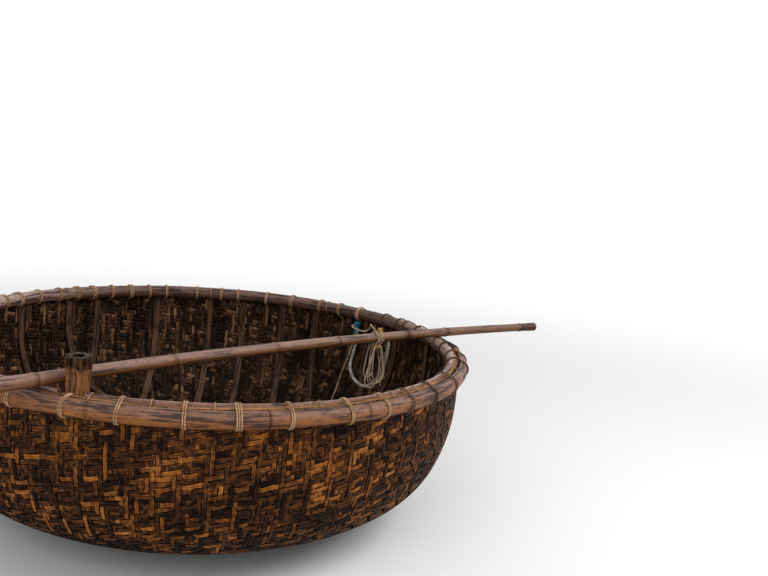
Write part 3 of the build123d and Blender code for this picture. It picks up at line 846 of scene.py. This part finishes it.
def build_lashings(settings, look):
    """The cord lashings round the rim, the rag's tie and the post's lashing."""
    lashed, tie, post = Shape(), Shape(), Shape()
    chance = np.random.default_rng(settings.seed + 5)
    for angle in PALE_LASHINGS + DARK_LASHINGS:
        tarred = angle in DARK_LASHINGS
        strands = 3 if not tarred and chance.random() < 0.15 else 2
        thick = settings.cord_diameter * (1.15 if tarred else 1)
        slant = chance.uniform(-2.5, 2.5) * MM
        for strand in range(strands):
            offset = (strand - (strands - 1) / 2) * thick * chance.uniform(1.3, 1.6)
            outline = rim_outline(thick / 2 + FIT + chance.uniform(0, 0.5) * MM)
            shade = min(max(0.75 * tarred + chance.uniform(-0.08, 0.2), 0), 1)
            add_strand(lashed, outline, radians(angle), offset, slant, thick, shade, chance)
    for strand in (-1, 0, 1):
        outline = rim_outline((4.2 if strand == 0 else 3.4) * MM)
        add_strand(tie, outline, KNOT_ANGLE, offset=strand * 5.2 * MM, slant=strand * 2 * MM,
                   thick=5.4 * MM, tone=0.05, chance=chance)
    low, high = (corner[2] + inward * MM for corner, inward in zip(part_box("post_tie"), (1.4, -1.4)))
    deep, skin = POST_PLACE + 15 * MM, OUTER_FACE - 12 * MM
    tail = [(skin, high), (deep + 6 * MM, high), (deep, high - 3 * MM), (deep, (low + high) / 2),
            (deep, low + 3 * MM), (deep + 6 * MM, low), (skin, low)]
    outline = np.concatenate([rim_outline(2.6 * MM)[:11], tail])
    for strand in (-1, 0, 1):
        add_strand(post, outline, POST_ANGLE, offset=strand * 4.7 * MM, slant=0.0, thick=4.4 * MM,
                   tone=0.1, chance=chance)
    groups = [f"lashings_{side}" for side in ("near", "right", "far", "left", "corner")]
    lashed.build("rim_lashings", look, "pale_cord", *groups)
    tie.build("knot_lashing", look, "pale_cord", "rim_tie")
    post.build("post_lashing", look, "pale_cord", "post_tie")


# Post and pole
def build_post(look):
    """The thole post: a hollow culm with a charred head, a hollow painted dark as shade and a crack."""
    bottom, top = (corner[2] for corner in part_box("thole_post"))
    angles = np.linspace(0, 2 * pi, 96, endpoint=False)
    shoulder = INNER_TOP + 46 * MM
    head, foot = POST_RADIUS - 0.9 * MM, POST_FOOT - 0.9 * MM
    rows = [(14 * MM, bottom, 0)]
    rows += [(foot, level, 1) for level in np.linspace(bottom, shoulder - 6 * MM, 26)]
    rows += [(foot + (head - foot) * share, shoulder + (12 * share - 6) * MM, 1) for share in (0.2, 0.5, 0.8)]
    rows += [(head, level, 1) for level in np.linspace(shoulder + 7 * MM, top - 5 * MM, 9)]
    rows += [(head - 0.7 * MM, top - 2 * MM, 1), (head - 3 * MM, top - 0.3 * MM, 1)]
    rows += [(19 * MM, top - 0.8 * MM, 0), (16.4 * MM, top - 2.5 * MM, 0)]
    rows += [(15.6 * MM, top - step * MM, 0) for step in (6, 12, 25, 50, 100, 180)]
    reach, level, skin = np.array(rows).T[..., None]
    height = level + 0 * angles

    def ripple(size, turns, rate=0.0, start=0.0):
        """A wave round the post that also turns with the height."""
        return size * np.sin(turns * angles + height * rate + start)

    edge = shoulder + (9 + ripple(5, 3, start=1) + ripple(3, 7) + ripple(2, 13)) * MM
    char = np.clip((height - edge) / (7 * MM), 0, 1)
    crack = bell(wrapped(angles - radians(-84)) + 0.05 * np.sin(height * 90), 0.05)
    crack = crack * np.clip((height - INNER_TOP + 0.02) / 0.02, 0, 1)
    crack = crack * np.clip((edge + 4 * MM - height) / (8 * MM), 0.25, 1)
    split = bell(wrapped(angles - radians(-120)) + 0.03 * np.sin(height * 140), 0.025)
    crack = np.maximum(crack, 0.6 * split * (1 - char))
    lumps = ripple(0.4, 3, 21) + ripple(0.3, 5, -37) + char * (ripple(0.4, 9, 260) + ripple(0.3, 17, -410))
    lip = 0.9 * bell(height - edge - 3 * MM, 4 * MM)
    radius = reach + skin * (lumps + lip - 0.9 - 4.5 * crack) * MM
    chips = 2.6 * bell(angles - radians(220), 0.4) + 1.8 * bell(angles - radians(310), 0.2)
    chipped = height - chips * MM * (level > top - 6 * MM)
    worn = 0.12 * np.sin(5 * angles + 2) * np.cos(chipped * 150) + ripple(0.1, 13)
    dark = np.maximum(char * (0.82 + worn), crack)
    # Painted shade: inside the hollow the char colour is laid on in full below the lip, as shade in the deep
    # bore.
    dark = np.where(skin > 0, dark, np.where(level < top - 2 * MM, 1.0, 0.66))
    rings = polar(radius, angles, chipped) + polar(POST_PLACE, POST_ANGLE, 0.0)
    shape = Shape()
    shape.grid(rings, along=chipped, around=angles[None] / 2, tone=4.7, node=np.clip(dark, 0, 1))
    shape.build("hollow_thole_post", look, "post_bamboo", "thole_post", edge=radians(45))


def pole_radius(along):
    """The pole's radius at a length from its thick end."""
    return (21 - 4.5 * np.asarray(along) / POLE_LENGTH) * MM


def pole_line(along):
    """The pole's middle at lengths from its thick end."""
    thick_rest, thin_rest = 0.9763 * HULL_RADIUS * round_points(POLE_RESTS)
    run = thin_rest - thick_rest
    span = np.linalg.norm(run)
    low, high = (INNER_TOP + FIT + pole_radius(place) for place in (POLE_TAIL, POLE_TAIL + span))
    share = (np.asarray(along, float) - POLE_TAIL) / span
    bow = 4 * share * (1 - share)
    sideways = np.array([-run[1], run[0]]) / span
    flat = thick_rest + np.multiply.outer(share, run) + np.multiply.outer(bow, sideways) * 22.5 * MM
    return np.column_stack([flat, low + (high - low) * share + 5.7 * MM * bow])


def build_pole(settings, look):
    """The pole, with its nodes and its hollow ends."""
    sides, bore_rings = 24, 9
    places = np.linspace(0, POLE_LENGTH, ceil(POLE_LENGTH / 0.006))
    gaps = [places - node * POLE_LENGTH for node in POLE_NODES]
    swell = sum(bell(gap, 0.006) for gap in gaps)
    notch = sum(bell(gap - 0.009, 0.003) for gap in gaps)
    flared = 0.075
    flare = np.clip((places - POLE_LENGTH + flared) / flared, 0, 1)
    radius = pole_radius(places) + 2.2 * MM * swell - 0.8 * MM * notch + 2.2 * MM * flare
    radius = radius + waves(np.random.default_rng(settings.seed + 7), places, 0.4 * MM, (0.23, 0.61))
    line = pole_line(places)
    thick_bore, thin_bore = (tube_rings(line, circle(sides, bore), UP)
                             for bore in (0.6 * pole_radius(0), 0.62 * pole_radius(POLE_LENGTH)))
    body = tube_rings(line, circle(sides) * radius[:, None, None], UP)
    rings = np.concatenate([thick_bore[[bore_rings, 0]], body, thin_bore[[-1, -1 - bore_rings]]])
    # Painted shadow: the pole darkens towards its thin end, where it lies in shadow.
    thin_end_shade = 0.42 * np.clip((places / POLE_LENGTH - 0.55) / 0.3, 0, 1)
    stain = 0.5 * bell(places - 0.7 * POLE_LENGTH, 0.02)
    marks = np.clip(np.clip(0.5 * swell + notch, 0, 1) + thin_end_shade + stain, 0, 1)
    marks[-14:] = np.maximum(marks[-14:], 0.8)
    shape = Shape()
    shape.grid(rings, along=np.pad(places, 2, "edge"), around=ring(sides) * 2, tone=2.4,
               node=np.pad(marks, 2, "edge"))
    shape.build("bamboo_pole", look, "pole_bamboo", "pole", edge=radians(50))


# Ropes and cords
def spline_points(points, resolution):
    """The points of an open NURBS line of order three on these control points."""
    data = bpy.data.curves.new("route", "CURVE")
    data.dimensions = "3D"
    data.resolution_u = resolution
    spline = data.splines.new("NURBS")
    spline.points.add(len(points) - 1)
    for spot, point in zip(spline.points, points):
        spot.co = (*point, 1.0)
    spline.order_u = 3
    spline.use_endpoint_u = True
    holder = placed("route", data)
    mesh = bpy.data.meshes.new_from_object(holder)
    line = np.array([vertex.co for vertex in mesh.vertices])
    bpy.data.objects.remove(holder)
    bpy.data.meshes.remove(mesh)
    bpy.data.curves.remove(data)
    first_gap, last_gap = (np.linalg.norm(line[end] - points[0]) for end in (0, -1))
    return line[::-1] if first_gap > last_gap else line


def build_rope(name, node, line, diameter, plies, look, slot, tone=0.0, sides=8):
    """A twisted rope of two or three plies along a line."""
    shape = Shape()
    lay, ply_share = (3.6, 0.3) if plies > 2 else (3.2, 0.285)
    lay *= diameter
    fine = resampled(line, lay / 13)
    side, up = carried(fine)
    along = lengths(fine)
    ease = np.clip(np.minimum(along, along[-1] - along) / (0.4 * lay) + 0.5, 0.5, 1)
    helix = (diameter / 2 - diameter * ply_share) * ease
    for ply in range(plies):
        turn = 2 * pi * (along / lay + ply / plies)
        middle = fine + helix[:, None] * (np.cos(turn)[:, None] * side + np.sin(turn)[:, None] * up)
        shape.grid(tube_rings(middle, circle(sides, diameter * ply_share), up),
                   along=along / (diameter * 0.9), around=ring(sides), tone=tone)
    return shape.build(name, look, slot, node)


def hang_cord(name, node, points, diameter, plies, look, slot, far_end, lay,
              tone=0.0, resolution=14, sides=8):
    """Builds a free cord through the points; far_end and lay are not used."""
    line = spline_points(points, resolution)
    rope = build_rope(name, node, line, diameter, plies, look, slot, tone, sides)


def build_cords(pale, grey):
    """The bridle, the tether and the tail."""
    for name, node, route, *facts in (
        ("bridle_rope", "bridle", BRIDLE_ROUTE, 14 * MM, 3, grey, "grey_rope", "object", "hanging"),
        ("tether_cord", "tether", TETHER_ROUTE, 7 * MM, 2, pale, "pale_cord", "object", "loose"),
        ("tail_rope", "tail_cord", TAIL_ROUTE, 6 * MM, 2, pale, "pale_cord", "bare", "hanging", 0.1),
    ):
        points = [(x * HULL_RADIUS, y * HULL_RADIUS, WALL_TOP - drop * MM) for x, y, drop in route]
        hang_cord(name, node, points, *facts)


def pole_frame(along):
    """The pole's middle and its directions along, sideways and up at a length."""
    before, middle, after = pole_line(along + np.array([-1, 0, 1]) * MM)
    run = unit(after - before)
    side = unit(np.cross(run, UP))
    return middle, run, side, np.cross(side, run)


def build_whipping(settings, look):
    """Turns of pale cord round the pole, with two slanting turns over them."""
    middle, run, side, up = pole_frame(WHIPPING_PLACE)
    thick = settings.turn_diameter
    radius = pole_radius(WHIPPING_PLACE - 22 * MM) + FIT + thick / 2
    under, over = np.linspace(0, 1, 140), np.linspace(0, 1, 60)[1:]
    angle = 2 * pi * np.r_[5 * under, 5 + 2.2 * over]
    there = (under - 0.5) * 35 + 0.9 * np.sin(7 * under)
    back = 18.5 - 33 * over - 1.5 * np.sin(9 * over)
    shift = np.r_[there, back] * MM
    reach = radius + np.r_[0 * under, 5.4 * np.clip(over * 6, 0, 1)] * MM
    around = np.cos(angle)[:, None] * side + np.sin(angle)[:, None] * up
    line = middle + shift[:, None] * run + reach[:, None] * around
    build_rope("pole_turns", "whipping", line, thick, 2, look, "pale_cord")


def loop_points(low, top_radius, low_radius, lean_top, lean_low):
    """Thirteen points (along the pole, down) round a hanging turn, from its top and back."""
    side = low - low_radius
    middle = lean_top + 0.5 * (lean_low - lean_top)
    bulge = 0.5 * (top_radius + low_radius)
    tops = [(lean_top + top_radius * sin(turn), top_radius * (1 - cos(turn)))
            for turn in (0.4, 1.2, -1.2, -0.4)]
    fold = [(lean_low + low_radius * sin(turn), side - low_radius * cos(turn))
            for turn in (1.45, 2.02, 2.58, 3.14, 3.7, 4.26, 4.83)]
    return tops[:2] + [(middle + bulge, 0.55 * side)] + fold + [(middle - bulge, 0.55 * side)] + tops[2:]


def build_hank(settings, look):
    """The hank of thin cord under the pole: unequal turns that fan out."""
    middle, run, _, _ = pole_frame(WHIPPING_PLACE)
    flat_run = unit(run * (1, 1, 0))
    flat_side = np.array([flat_run[1], -flat_run[0], 0.0])
    top = middle - np.array([0, 0, pole_radius(WHIPPING_PLACE) + 9 * MM])
    chance = random.Random(settings.seed)
    layer, top_radius = 6.6, 21.5
    points = []
    for number, (drop, low_radius, lean_top, lean_low) in enumerate(HANK_TURNS):
        after = HANK_TURNS[(number + 1) % len(HANK_TURNS)][2]
        loop = loop_points(drop, top_radius, low_radius, lean_top, lean_low)
        for step, (across, down) in enumerate(loop):
            share = (step + 0.5) / len(loop)
            across += max(0.0, 2 * share - 1) ** 2 * (after - lean_top)
            fan = (number - 2 + share - 0.5) * layer
            shake = [chance.uniform(-1, 1) * 0.3 for _ in range(3)]
            point = top + offsets((across, flat_run), (fan, flat_side), (-down, UP), (1, shake))
            points.append(tuple(point))
    hang_cord("cord_hank", "hank", points, settings.hank_diameter, 2, look, "pale_cord", "object", "coiled",
              resolution=6, sides=6)


def knot_line(middle, across, rise, out, wide, tall, deep, steps=120):
    """A closed overhand knot round a middle, in three directions."""
    turn = 2 * pi * ring(steps)[0]
    return middle + offsets(
        ((np.sin(turn) + 1.1 * np.sin(2 * turn)) * wide, across),
        ((np.cos(turn) - 1.1 * np.cos(2 * turn)) * tall, rise),
        (-np.sin(3 * turn) * deep, out),
    )


def build_rag(look):
    """The knotted rag under the rim tie, with three flaps."""
    middle = np.mean(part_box("tie_knot"), axis=0)
    out = np.array([cos(KNOT_ANGLE), sin(KNOT_ANGLE), 0])
    across = np.array([-out[1], out[0], 0])
    shape = Shape()
    knot = knot_line(middle, across, UP, out, wide=5.6, tall=9.0, deep=6.5)
    creases = 1 + 0.18 * np.sin(14 * pi * ring(120)).T * np.cos(6 * pi * ring(14))
    section = circle(14) * (1.0, 0.75) * creases[..., None] * 6.4 * MM
    add_closed_tube(shape, knot, section, out)
    share = np.linspace(0, 1, 18)
    for way, drop, sway in ((-1, 27, 5), (1, 20, 4), (1, 31, -6)):
        line = middle + offsets(
            (way * (3 + 7 * share) + sway * share**2, across),
            (-4 - drop * share, UP),
            (-4 + 3 * np.sin(5 * share + sway), out),
        )
        flap = columns(5 + 4.5 * share, 2.4 - 1.3 * share)[:, None] * circle(12) * MM
        flap[..., 1] += 1.3 * MM * np.sin(6 * pi * ring(12)) * share[:, None]
        shape.grid(tube_rings(line, flap, out))
    shape.build("knotted_rag", look, "blue_cloth", "tie_knot")


def build_yellow_knots(look):
    """Two yellow cord knots on the pole's turns, with short ends."""
    middle, run, side, up = pole_frame(WHIPPING_PLACE)
    thick = 5.8 * MM
    radius = pole_radius(WHIPPING_PLACE)
    share = np.linspace(0, 1, 12)
    shape = Shape()
    for shift, height, size in ((9 * MM, radius + 15 * MM, 4.6), (4 * MM, -radius - 13 * MM, 4.8)):
        centre = middle + shift * run + height * up + 7 * MM * side
        knot = knot_line(centre, run, up, side, wide=size, tall=0.8 * size, deep=2.6, steps=60)
        add_closed_tube(shape, knot, circle(7, thick / 2), up, along=lengths(knot) / 0.005, tone=0.0)
        for way, fall in ((-1, 16), (1, 11)):
            line = centre + offsets(
                (way * (4 + 12 * share), run), (-fall * share**2, up), (-4 * np.sin(2.5 * share), side)
            )
            rings = tube_rings(line, circle(7, 0.42 * thick), side)
            shape.grid(rings, along=lengths(line) / 0.005, tone=0.05)
    shape.build("yellow_knots", look, "pale_cord")


# Settings, operators and panel
def colour(name, description, red, green, blue):
    """A colour setting with its default as screen values."""
    return FloatVectorProperty(name=name, description=description, default=tint(red, green, blue),
                               subtype="COLOR", size=4, min=0, max=1)


def metres(name, description, default):
    """A length setting in metres."""
    return FloatProperty(name=name, description=description, default=default, unit="LENGTH")


class HullSettings(bpy.types.PropertyGroup):
    """Sizes and colours of the weave and the slats."""

    stakes: IntProperty(name="Stakes", description="Upright splints round the side", default=410, min=60)
    course_pitch: metres("Course pitch", "From one course to the next", 0.017)
    course_slope: FloatProperty(name="Course slope", description="Rise of the courses round the boat",
                                default=radians(10.3), subtype="ANGLE")
    mat_pitch: metres("Mat pitch", "From one splint of the bottom to the next", 0.019)
    thickness: metres("Splint thickness", "Thickness of each splint", 0.0024)
    relief: metres("Relief", "How far splints swing to each side", 0.0026)
    slips: FloatProperty(name="Slips", description="Share of crossings that break the pattern", default=0.08,
                         subtype="FACTOR")
    seed: IntProperty(name="Seed", description="Which random weave", default=11)
    dark_splint: colour("Dark splint", "Splints under thick tar", 18, 10, 6)
    brown_splint: colour("Brown splint", "Splints under thin tar", 68, 42, 25)
    amber_splint: colour("Amber splint", "Splints worn almost bare", 144, 87, 38)
    pale_splint: colour("Pale splint", "Bare fibre", 190, 128, 68)
    # The slat side colour stands partly for warm reflected light; the slats' fibre colour is a painted sunlit
    # highlight.
    slat_top: colour("Slat", "Weathered face of the slats", 86, 62, 46)
    slat_body: colour("Slat side", "Sheltered side of the slats", 66, 46, 33)


class RimSettings(bpy.types.PropertyGroup):
    """Sizes and colours of the hoops, the laths and the lashings."""

    hoop_step: metres("Hoop step", "Length of one facet along the hoops", 0.0065)
    hoop_sides: IntProperty(name="Hoop sides", description="Points over a hoop's half round",
                            default=17, min=7)
    cord_diameter: metres("Lashing cord", "Diameter of the lashing cord", 0.0046)
    seed: IntProperty(name="Seed", description="Which random wear", default=5)
    # Hoop and lath colours: the side colours stand partly for warm reflected light, and the hoops' fibre
    # colour is a painted sunlit highlight.
    outer_top: colour("Outer hoop top", "Weathered upper side of the outer hoop", 126, 92, 75)
    outer_body: colour("Outer hoop side", "Sheltered side of the outer hoop", 108, 64, 33)
    outer_sunlit_fibre: colour("Outer hoop fibre", "Bright fibres of the outer hoop", 160, 99, 47)
    inner_top: colour("Inner hoop top", "Weathered upper side of the inner hoop", 184, 154, 144)
    inner_body: colour("Inner hoop side", "Sheltered side of the inner hoop", 136, 102, 88)
    lath_top: colour("Lath", "Upper edge of the laths", 170, 120, 78)
    twine: colour("Twine", "Fresh lashing cord", 214, 172, 136)
    old_twine: colour("Old twine", "Tarred lashing cord", 44, 34, 28)


class SparSettings(bpy.types.PropertyGroup):
    """Colours of the post and the pole."""

    seed: IntProperty(name="Seed", description="Which random bends", default=5)
    # Post and pole colours: the side colours stand partly for warm reflected light, and their fibre colours
    # are painted sunlit highlights.
    post_top: colour("Post", "Weathered face of the post", 116, 84, 60)
    post_body: colour("Post side", "Sheltered side of the post", 96, 63, 39)
    # The char colour also paints the shade inside the post's hollow.
    char: colour("Char", "The burnt head and the hollow of the post", 15, 9, 6)
    pole_top: colour("Pole top", "Weathered upper side of the pole", 140, 110, 97)
    pole_body: colour("Pole side", "Sheltered side of the pole", 94, 61, 36)


class CordSettings(bpy.types.PropertyGroup):
    """Sizes and colours of the ropes, the hank and the rag."""

    hank_diameter: metres("Hank cord", "Diameter of the hank's cord", 0.005)
    turn_diameter: metres("Pole turns", "Diameter of the cord round the pole", 0.006)
    seed: IntProperty(name="Seed", description="Which random hang", default=5)
    pale_cord: colour("Pale cord", "The tether, the tail and the hank", 206, 178, 146)
    grey_rope: colour("Grey rope", "The bridle", 176, 172, 170)
    yellow_cord: colour("Yellow cord", "The knots on the pole's turns", 218, 172, 72)
    rag: colour("Rag", "The knotted rag", 22, 108, 132)


class StageSettings(bpy.types.PropertyGroup):
    """The camera, the floor and the light."""

    lens: FloatProperty(name="Lens", description="Focal length of the camera", default=42.1875, unit="CAMERA")
    place: FloatVectorProperty(name="Camera", description="Where the camera stands",
                               default=(0.6213, -3.3667, 1.41), subtype="TRANSLATION")
    floor: FloatProperty(name="Floor", description="How pale the floor is", default=0.8, subtype="FACTOR",
                         max=1)
    fill: FloatProperty(name="Fill", description="Strength of the even light", default=0.6)
    key: FloatProperty(name="Key", description="Power of the large soft light", default=210.0, unit="POWER")


class BOAT_OT_stage(bpy.types.Operator):
    """Sets the camera, the floor and the soft light"""

    bl_idname = "boat.stage"
    bl_label = "Stage"

    def execute(self, context):
        scene, settings = context.scene, context.scene.boat_stage
        data = bpy.data.cameras.new("view")
        data.lens = settings.lens
        data.sensor_width = 36
        camera = placed("view", data)
        right = Vector((0.99564, 0.00392, 0.09323))
        up = Vector((-0.09269, 0.15683, 0.98327))
        back = Vector((-0.01076, -0.98762, 0.15651))
        turned = Matrix((right, up, back)).transposed().to_4x4()
        camera.matrix_world = Matrix.Translation(settings.place) @ turned
        scene.camera = camera

        wide = 60.0
        corners = [(x * wide, y * wide, 0) for x, y in ((-1, -1), (1, -1), (1, 1), (-1, 1))]
        mesh = bpy.data.meshes.new("floor")
        mesh.from_pydata(corners, [], [range(4)])
        mesh.materials.append(floor_look(settings.floor))
        ground = placed("floor", mesh)

        for name, place, size, power in (
            ("key_light", (4.2, -1.0, 4.2), 3.2, settings.key),
            ("front_light", (-1.6, -5.2, 3.0), 4.0, 0.5 * settings.key),
        ):
            light = bpy.data.lights.new(name, "AREA")
            light.size = size
            light.energy = power
            lamp = placed(name, light)
            aim = Vector((0, 0, 0.4)) - Vector(place)
            lamp.matrix_world = Matrix.Translation(place) @ aim.to_track_quat("-Z", "Y").to_matrix().to_4x4()

        world = bpy.data.worlds.new("studio")
        world.use_nodes = True
        scene.world = world
        tree = world.node_tree
        rays = tree.nodes.new("ShaderNodeLightPath").outputs
        seen = rays["Is Camera Ray"]
        for ray in ("Is Glossy Ray", "Is Transmission Ray"):
            seen = add_node(tree, "ShaderNodeMath", {0: seen, 1: rays[ray]}, operation="MAXIMUM").outputs[0]
        inputs = {"Value": seen, "To Min": settings.fill, "To Max": 1.0}
        strength = add_node(tree, "ShaderNodeMapRange", inputs).outputs[0]
        connect(tree, tree.nodes["Background"], {"Color": (1, 1, 1, 1), "Strength": strength})
        scene.view_settings.view_transform = "Standard"
        return {"FINISHED"}


class BOAT_OT_cords(bpy.types.Operator):
    """Hangs the bridle, the tether and the tail"""

    bl_idname = "boat.cords"
    bl_label = "Cords"

    def execute(self, context):
        settings = context.scene.boat_cords
        grey = cord_look("grey_twist", settings.grey_rope, tint(128, 122, 120), tint(60, 54, 50))
        build_cords(pale_look("pale_twine", settings), grey)
        return {"FINISHED"}


class BOAT_OT_hank(bpy.types.Operator):
    """Hangs the hank of thin cord under the pole"""

    bl_idname = "boat.hank"
    bl_label = "Hank"

    def execute(self, context):
        settings = context.scene.boat_cords
        build_hank(settings, pale_look("hank_twine", settings))
        return {"FINISHED"}


class BOAT_OT_pole_turns(bpy.types.Operator):
    """Winds pale cord round the pole and knots yellow cord on it"""

    bl_idname = "boat.pole_turns"
    bl_label = "Pole turns"

    def execute(self, context):
        settings = context.scene.boat_cords
        pale = pale_look("turn_twine", settings)
        yellow = cord_look("yellow_twine", settings.yellow_cord, tint(184, 140, 58), tint(80, 58, 30))
        build_whipping(settings, pale)
        build_yellow_knots(yellow)
        return {"FINISHED"}


class BOAT_OT_rag(bpy.types.Operator):
    """Knots the rag under the rim"""

    bl_idname = "boat.rag"
    bl_label = "Rag"

    def execute(self, context):
        build_rag(cloth_look(context.scene.boat_cords.rag))
        return {"FINISHED"}


class BOAT_OT_hull(bpy.types.Operator):
    """Weaves the side and the bottom"""

    bl_idname = "boat.hull"
    bl_label = "Hull"

    def execute(self, context):
        settings = context.scene.boat_hull
        look = weave_look(settings)
        build_core(resin_look())
        build_side(settings, look)
        build_mat(settings, look)
        return {"FINISHED"}


class BOAT_OT_hoops(bpy.types.Operator):
    """Bends the two hoops of the rim"""

    bl_idname = "boat.hoops"
    bl_label = "Hoops"

    def execute(self, context):
        settings = context.scene.boat_rim
        outer_look = bamboo_look("outer_hoop_bamboo", settings.outer_top, settings.outer_body,
                                 settings.outer_sunlit_fibre, tint(40, 29, 28), stains=0.85, roughness=0.36)
        inner_look = bamboo_look("inner_hoop_bamboo", settings.inner_top, settings.inner_body,
                                 tint(164, 122, 96), tint(48, 38, 38), stains=0.72, roughness=0.38)
        build_hoops(settings, outer_look, inner_look)
        return {"FINISHED"}


class BOAT_OT_laths(bpy.types.Operator):
    """Lays the two laths behind the inner hoop"""

    bl_idname = "boat.laths"
    bl_label = "Laths"

    def execute(self, context):
        settings = context.scene.boat_rim
        build_laths(bamboo_look("lath_bamboo", settings.lath_top, tint(90, 60, 38), tint(140, 96, 58),
                                tint(42, 32, 28), stains=0.8, roughness=0.6))
        return {"FINISHED"}


class BOAT_OT_lashings(bpy.types.Operator):
    """Ties the rim, the post and the rag's place with cord"""

    bl_idname = "boat.lashings"
    bl_label = "Lashings"

    def execute(self, context):
        settings = context.scene.boat_rim
        twine = cord_look("lashing_twine", settings.twine, tint(166, 126, 90), settings.old_twine)
        build_lashings(settings, twine)
        build_small_ties(settings, twine)
        return {"FINISHED"}


class BOAT_OT_ribs(bpy.types.Operator):
    """Lays the slats over the inside"""

    bl_idname = "boat.ribs"
    bl_label = "Ribs"

    def execute(self, context):
        settings = context.scene.boat_hull
        build_ribs(bamboo_look("slat_bamboo", settings.slat_top, settings.slat_body, tint(100, 68, 45),
                               tint(34, 25, 20), stains=0.85, roughness=0.65))
        return {"FINISHED"}


class BOAT_OT_post(bpy.types.Operator):
    """Stands the thole post in its gap"""

    bl_idname = "boat.post"
    bl_label = "Post"

    def execute(self, context):
        settings = context.scene.boat_spars
        build_post(bamboo_look("post_bamboo", settings.post_top, settings.post_body, tint(160, 106, 58),
                               tint(44, 30, 22), stains=0.7, roughness=0.5, mark=settings.char))
        return {"FINISHED"}


class BOAT_OT_pole(bpy.types.Operator):
    """Lays the pole over the rim"""

    bl_idname = "boat.pole"
    bl_label = "Pole"

    def execute(self, context):
        settings = context.scene.boat_spars
        look = bamboo_look("pole_bamboo", settings.pole_top, settings.pole_body, tint(134, 87, 50),
                           tint(54, 42, 40), stains=0.52, roughness=0.42)
        build_pole(settings, look)
        return {"FINISHED"}


STEPS = (
    BOAT_OT_stage, BOAT_OT_cords, BOAT_OT_hank, BOAT_OT_pole_turns, BOAT_OT_rag, BOAT_OT_hull,
    BOAT_OT_hoops, BOAT_OT_laths, BOAT_OT_lashings, BOAT_OT_ribs, BOAT_OT_post, BOAT_OT_pole,
)
GROUPS = (
    ("boat_hull", HullSettings),
    ("boat_rim", RimSettings),
    ("boat_spars", SparSettings),
    ("boat_cords", CordSettings),
    ("boat_stage", StageSettings),
)


class BOAT_PT_panel(bpy.types.Panel):
    """The steps that dress the boat, with their settings"""

    bl_idname = "BOAT_PT_panel"
    bl_label = "Basket Boat"
    bl_space_type = "VIEW_3D"
    bl_region_type = "UI"
    bl_category = "Basket Boat"

    def draw(self, context):
        for step in STEPS:
            self.layout.operator(step.bl_idname)
        for place, kind in GROUPS:
            box = self.layout.box()
            for name in kind.__annotations__:
                box.prop(getattr(context.scene, place), name)


def register():
    """Registers the settings, the operators and the panel."""
    for place, kind in GROUPS:
        bpy.utils.register_class(kind)
        setattr(bpy.types.Scene, place, PointerProperty(type=kind))
    for item in STEPS + (BOAT_PT_panel,):
        bpy.utils.register_class(item)


def unregister():
    """Takes them away again."""
    for item in (BOAT_PT_panel,) + STEPS[::-1]:
        bpy.utils.unregister_class(item)
    for place, kind in GROUPS[::-1]:
        delattr(bpy.types.Scene, place)
        bpy.utils.unregister_class(kind)


def main():
    """Dresses the boat from first step to last."""
    register()
    bpy.ops.boat.stage()
    bpy.ops.boat.cords()
    bpy.ops.boat.hank()
    bpy.ops.boat.pole_turns()
    bpy.ops.boat.rag()
    bpy.ops.boat.hull()
    bpy.ops.boat.hoops()
    bpy.ops.boat.laths()
    bpy.ops.boat.lashings()
    bpy.ops.boat.ribs()
    bpy.ops.boat.post()
    bpy.ops.boat.pole()


if __name__ == "__main__":
    main()
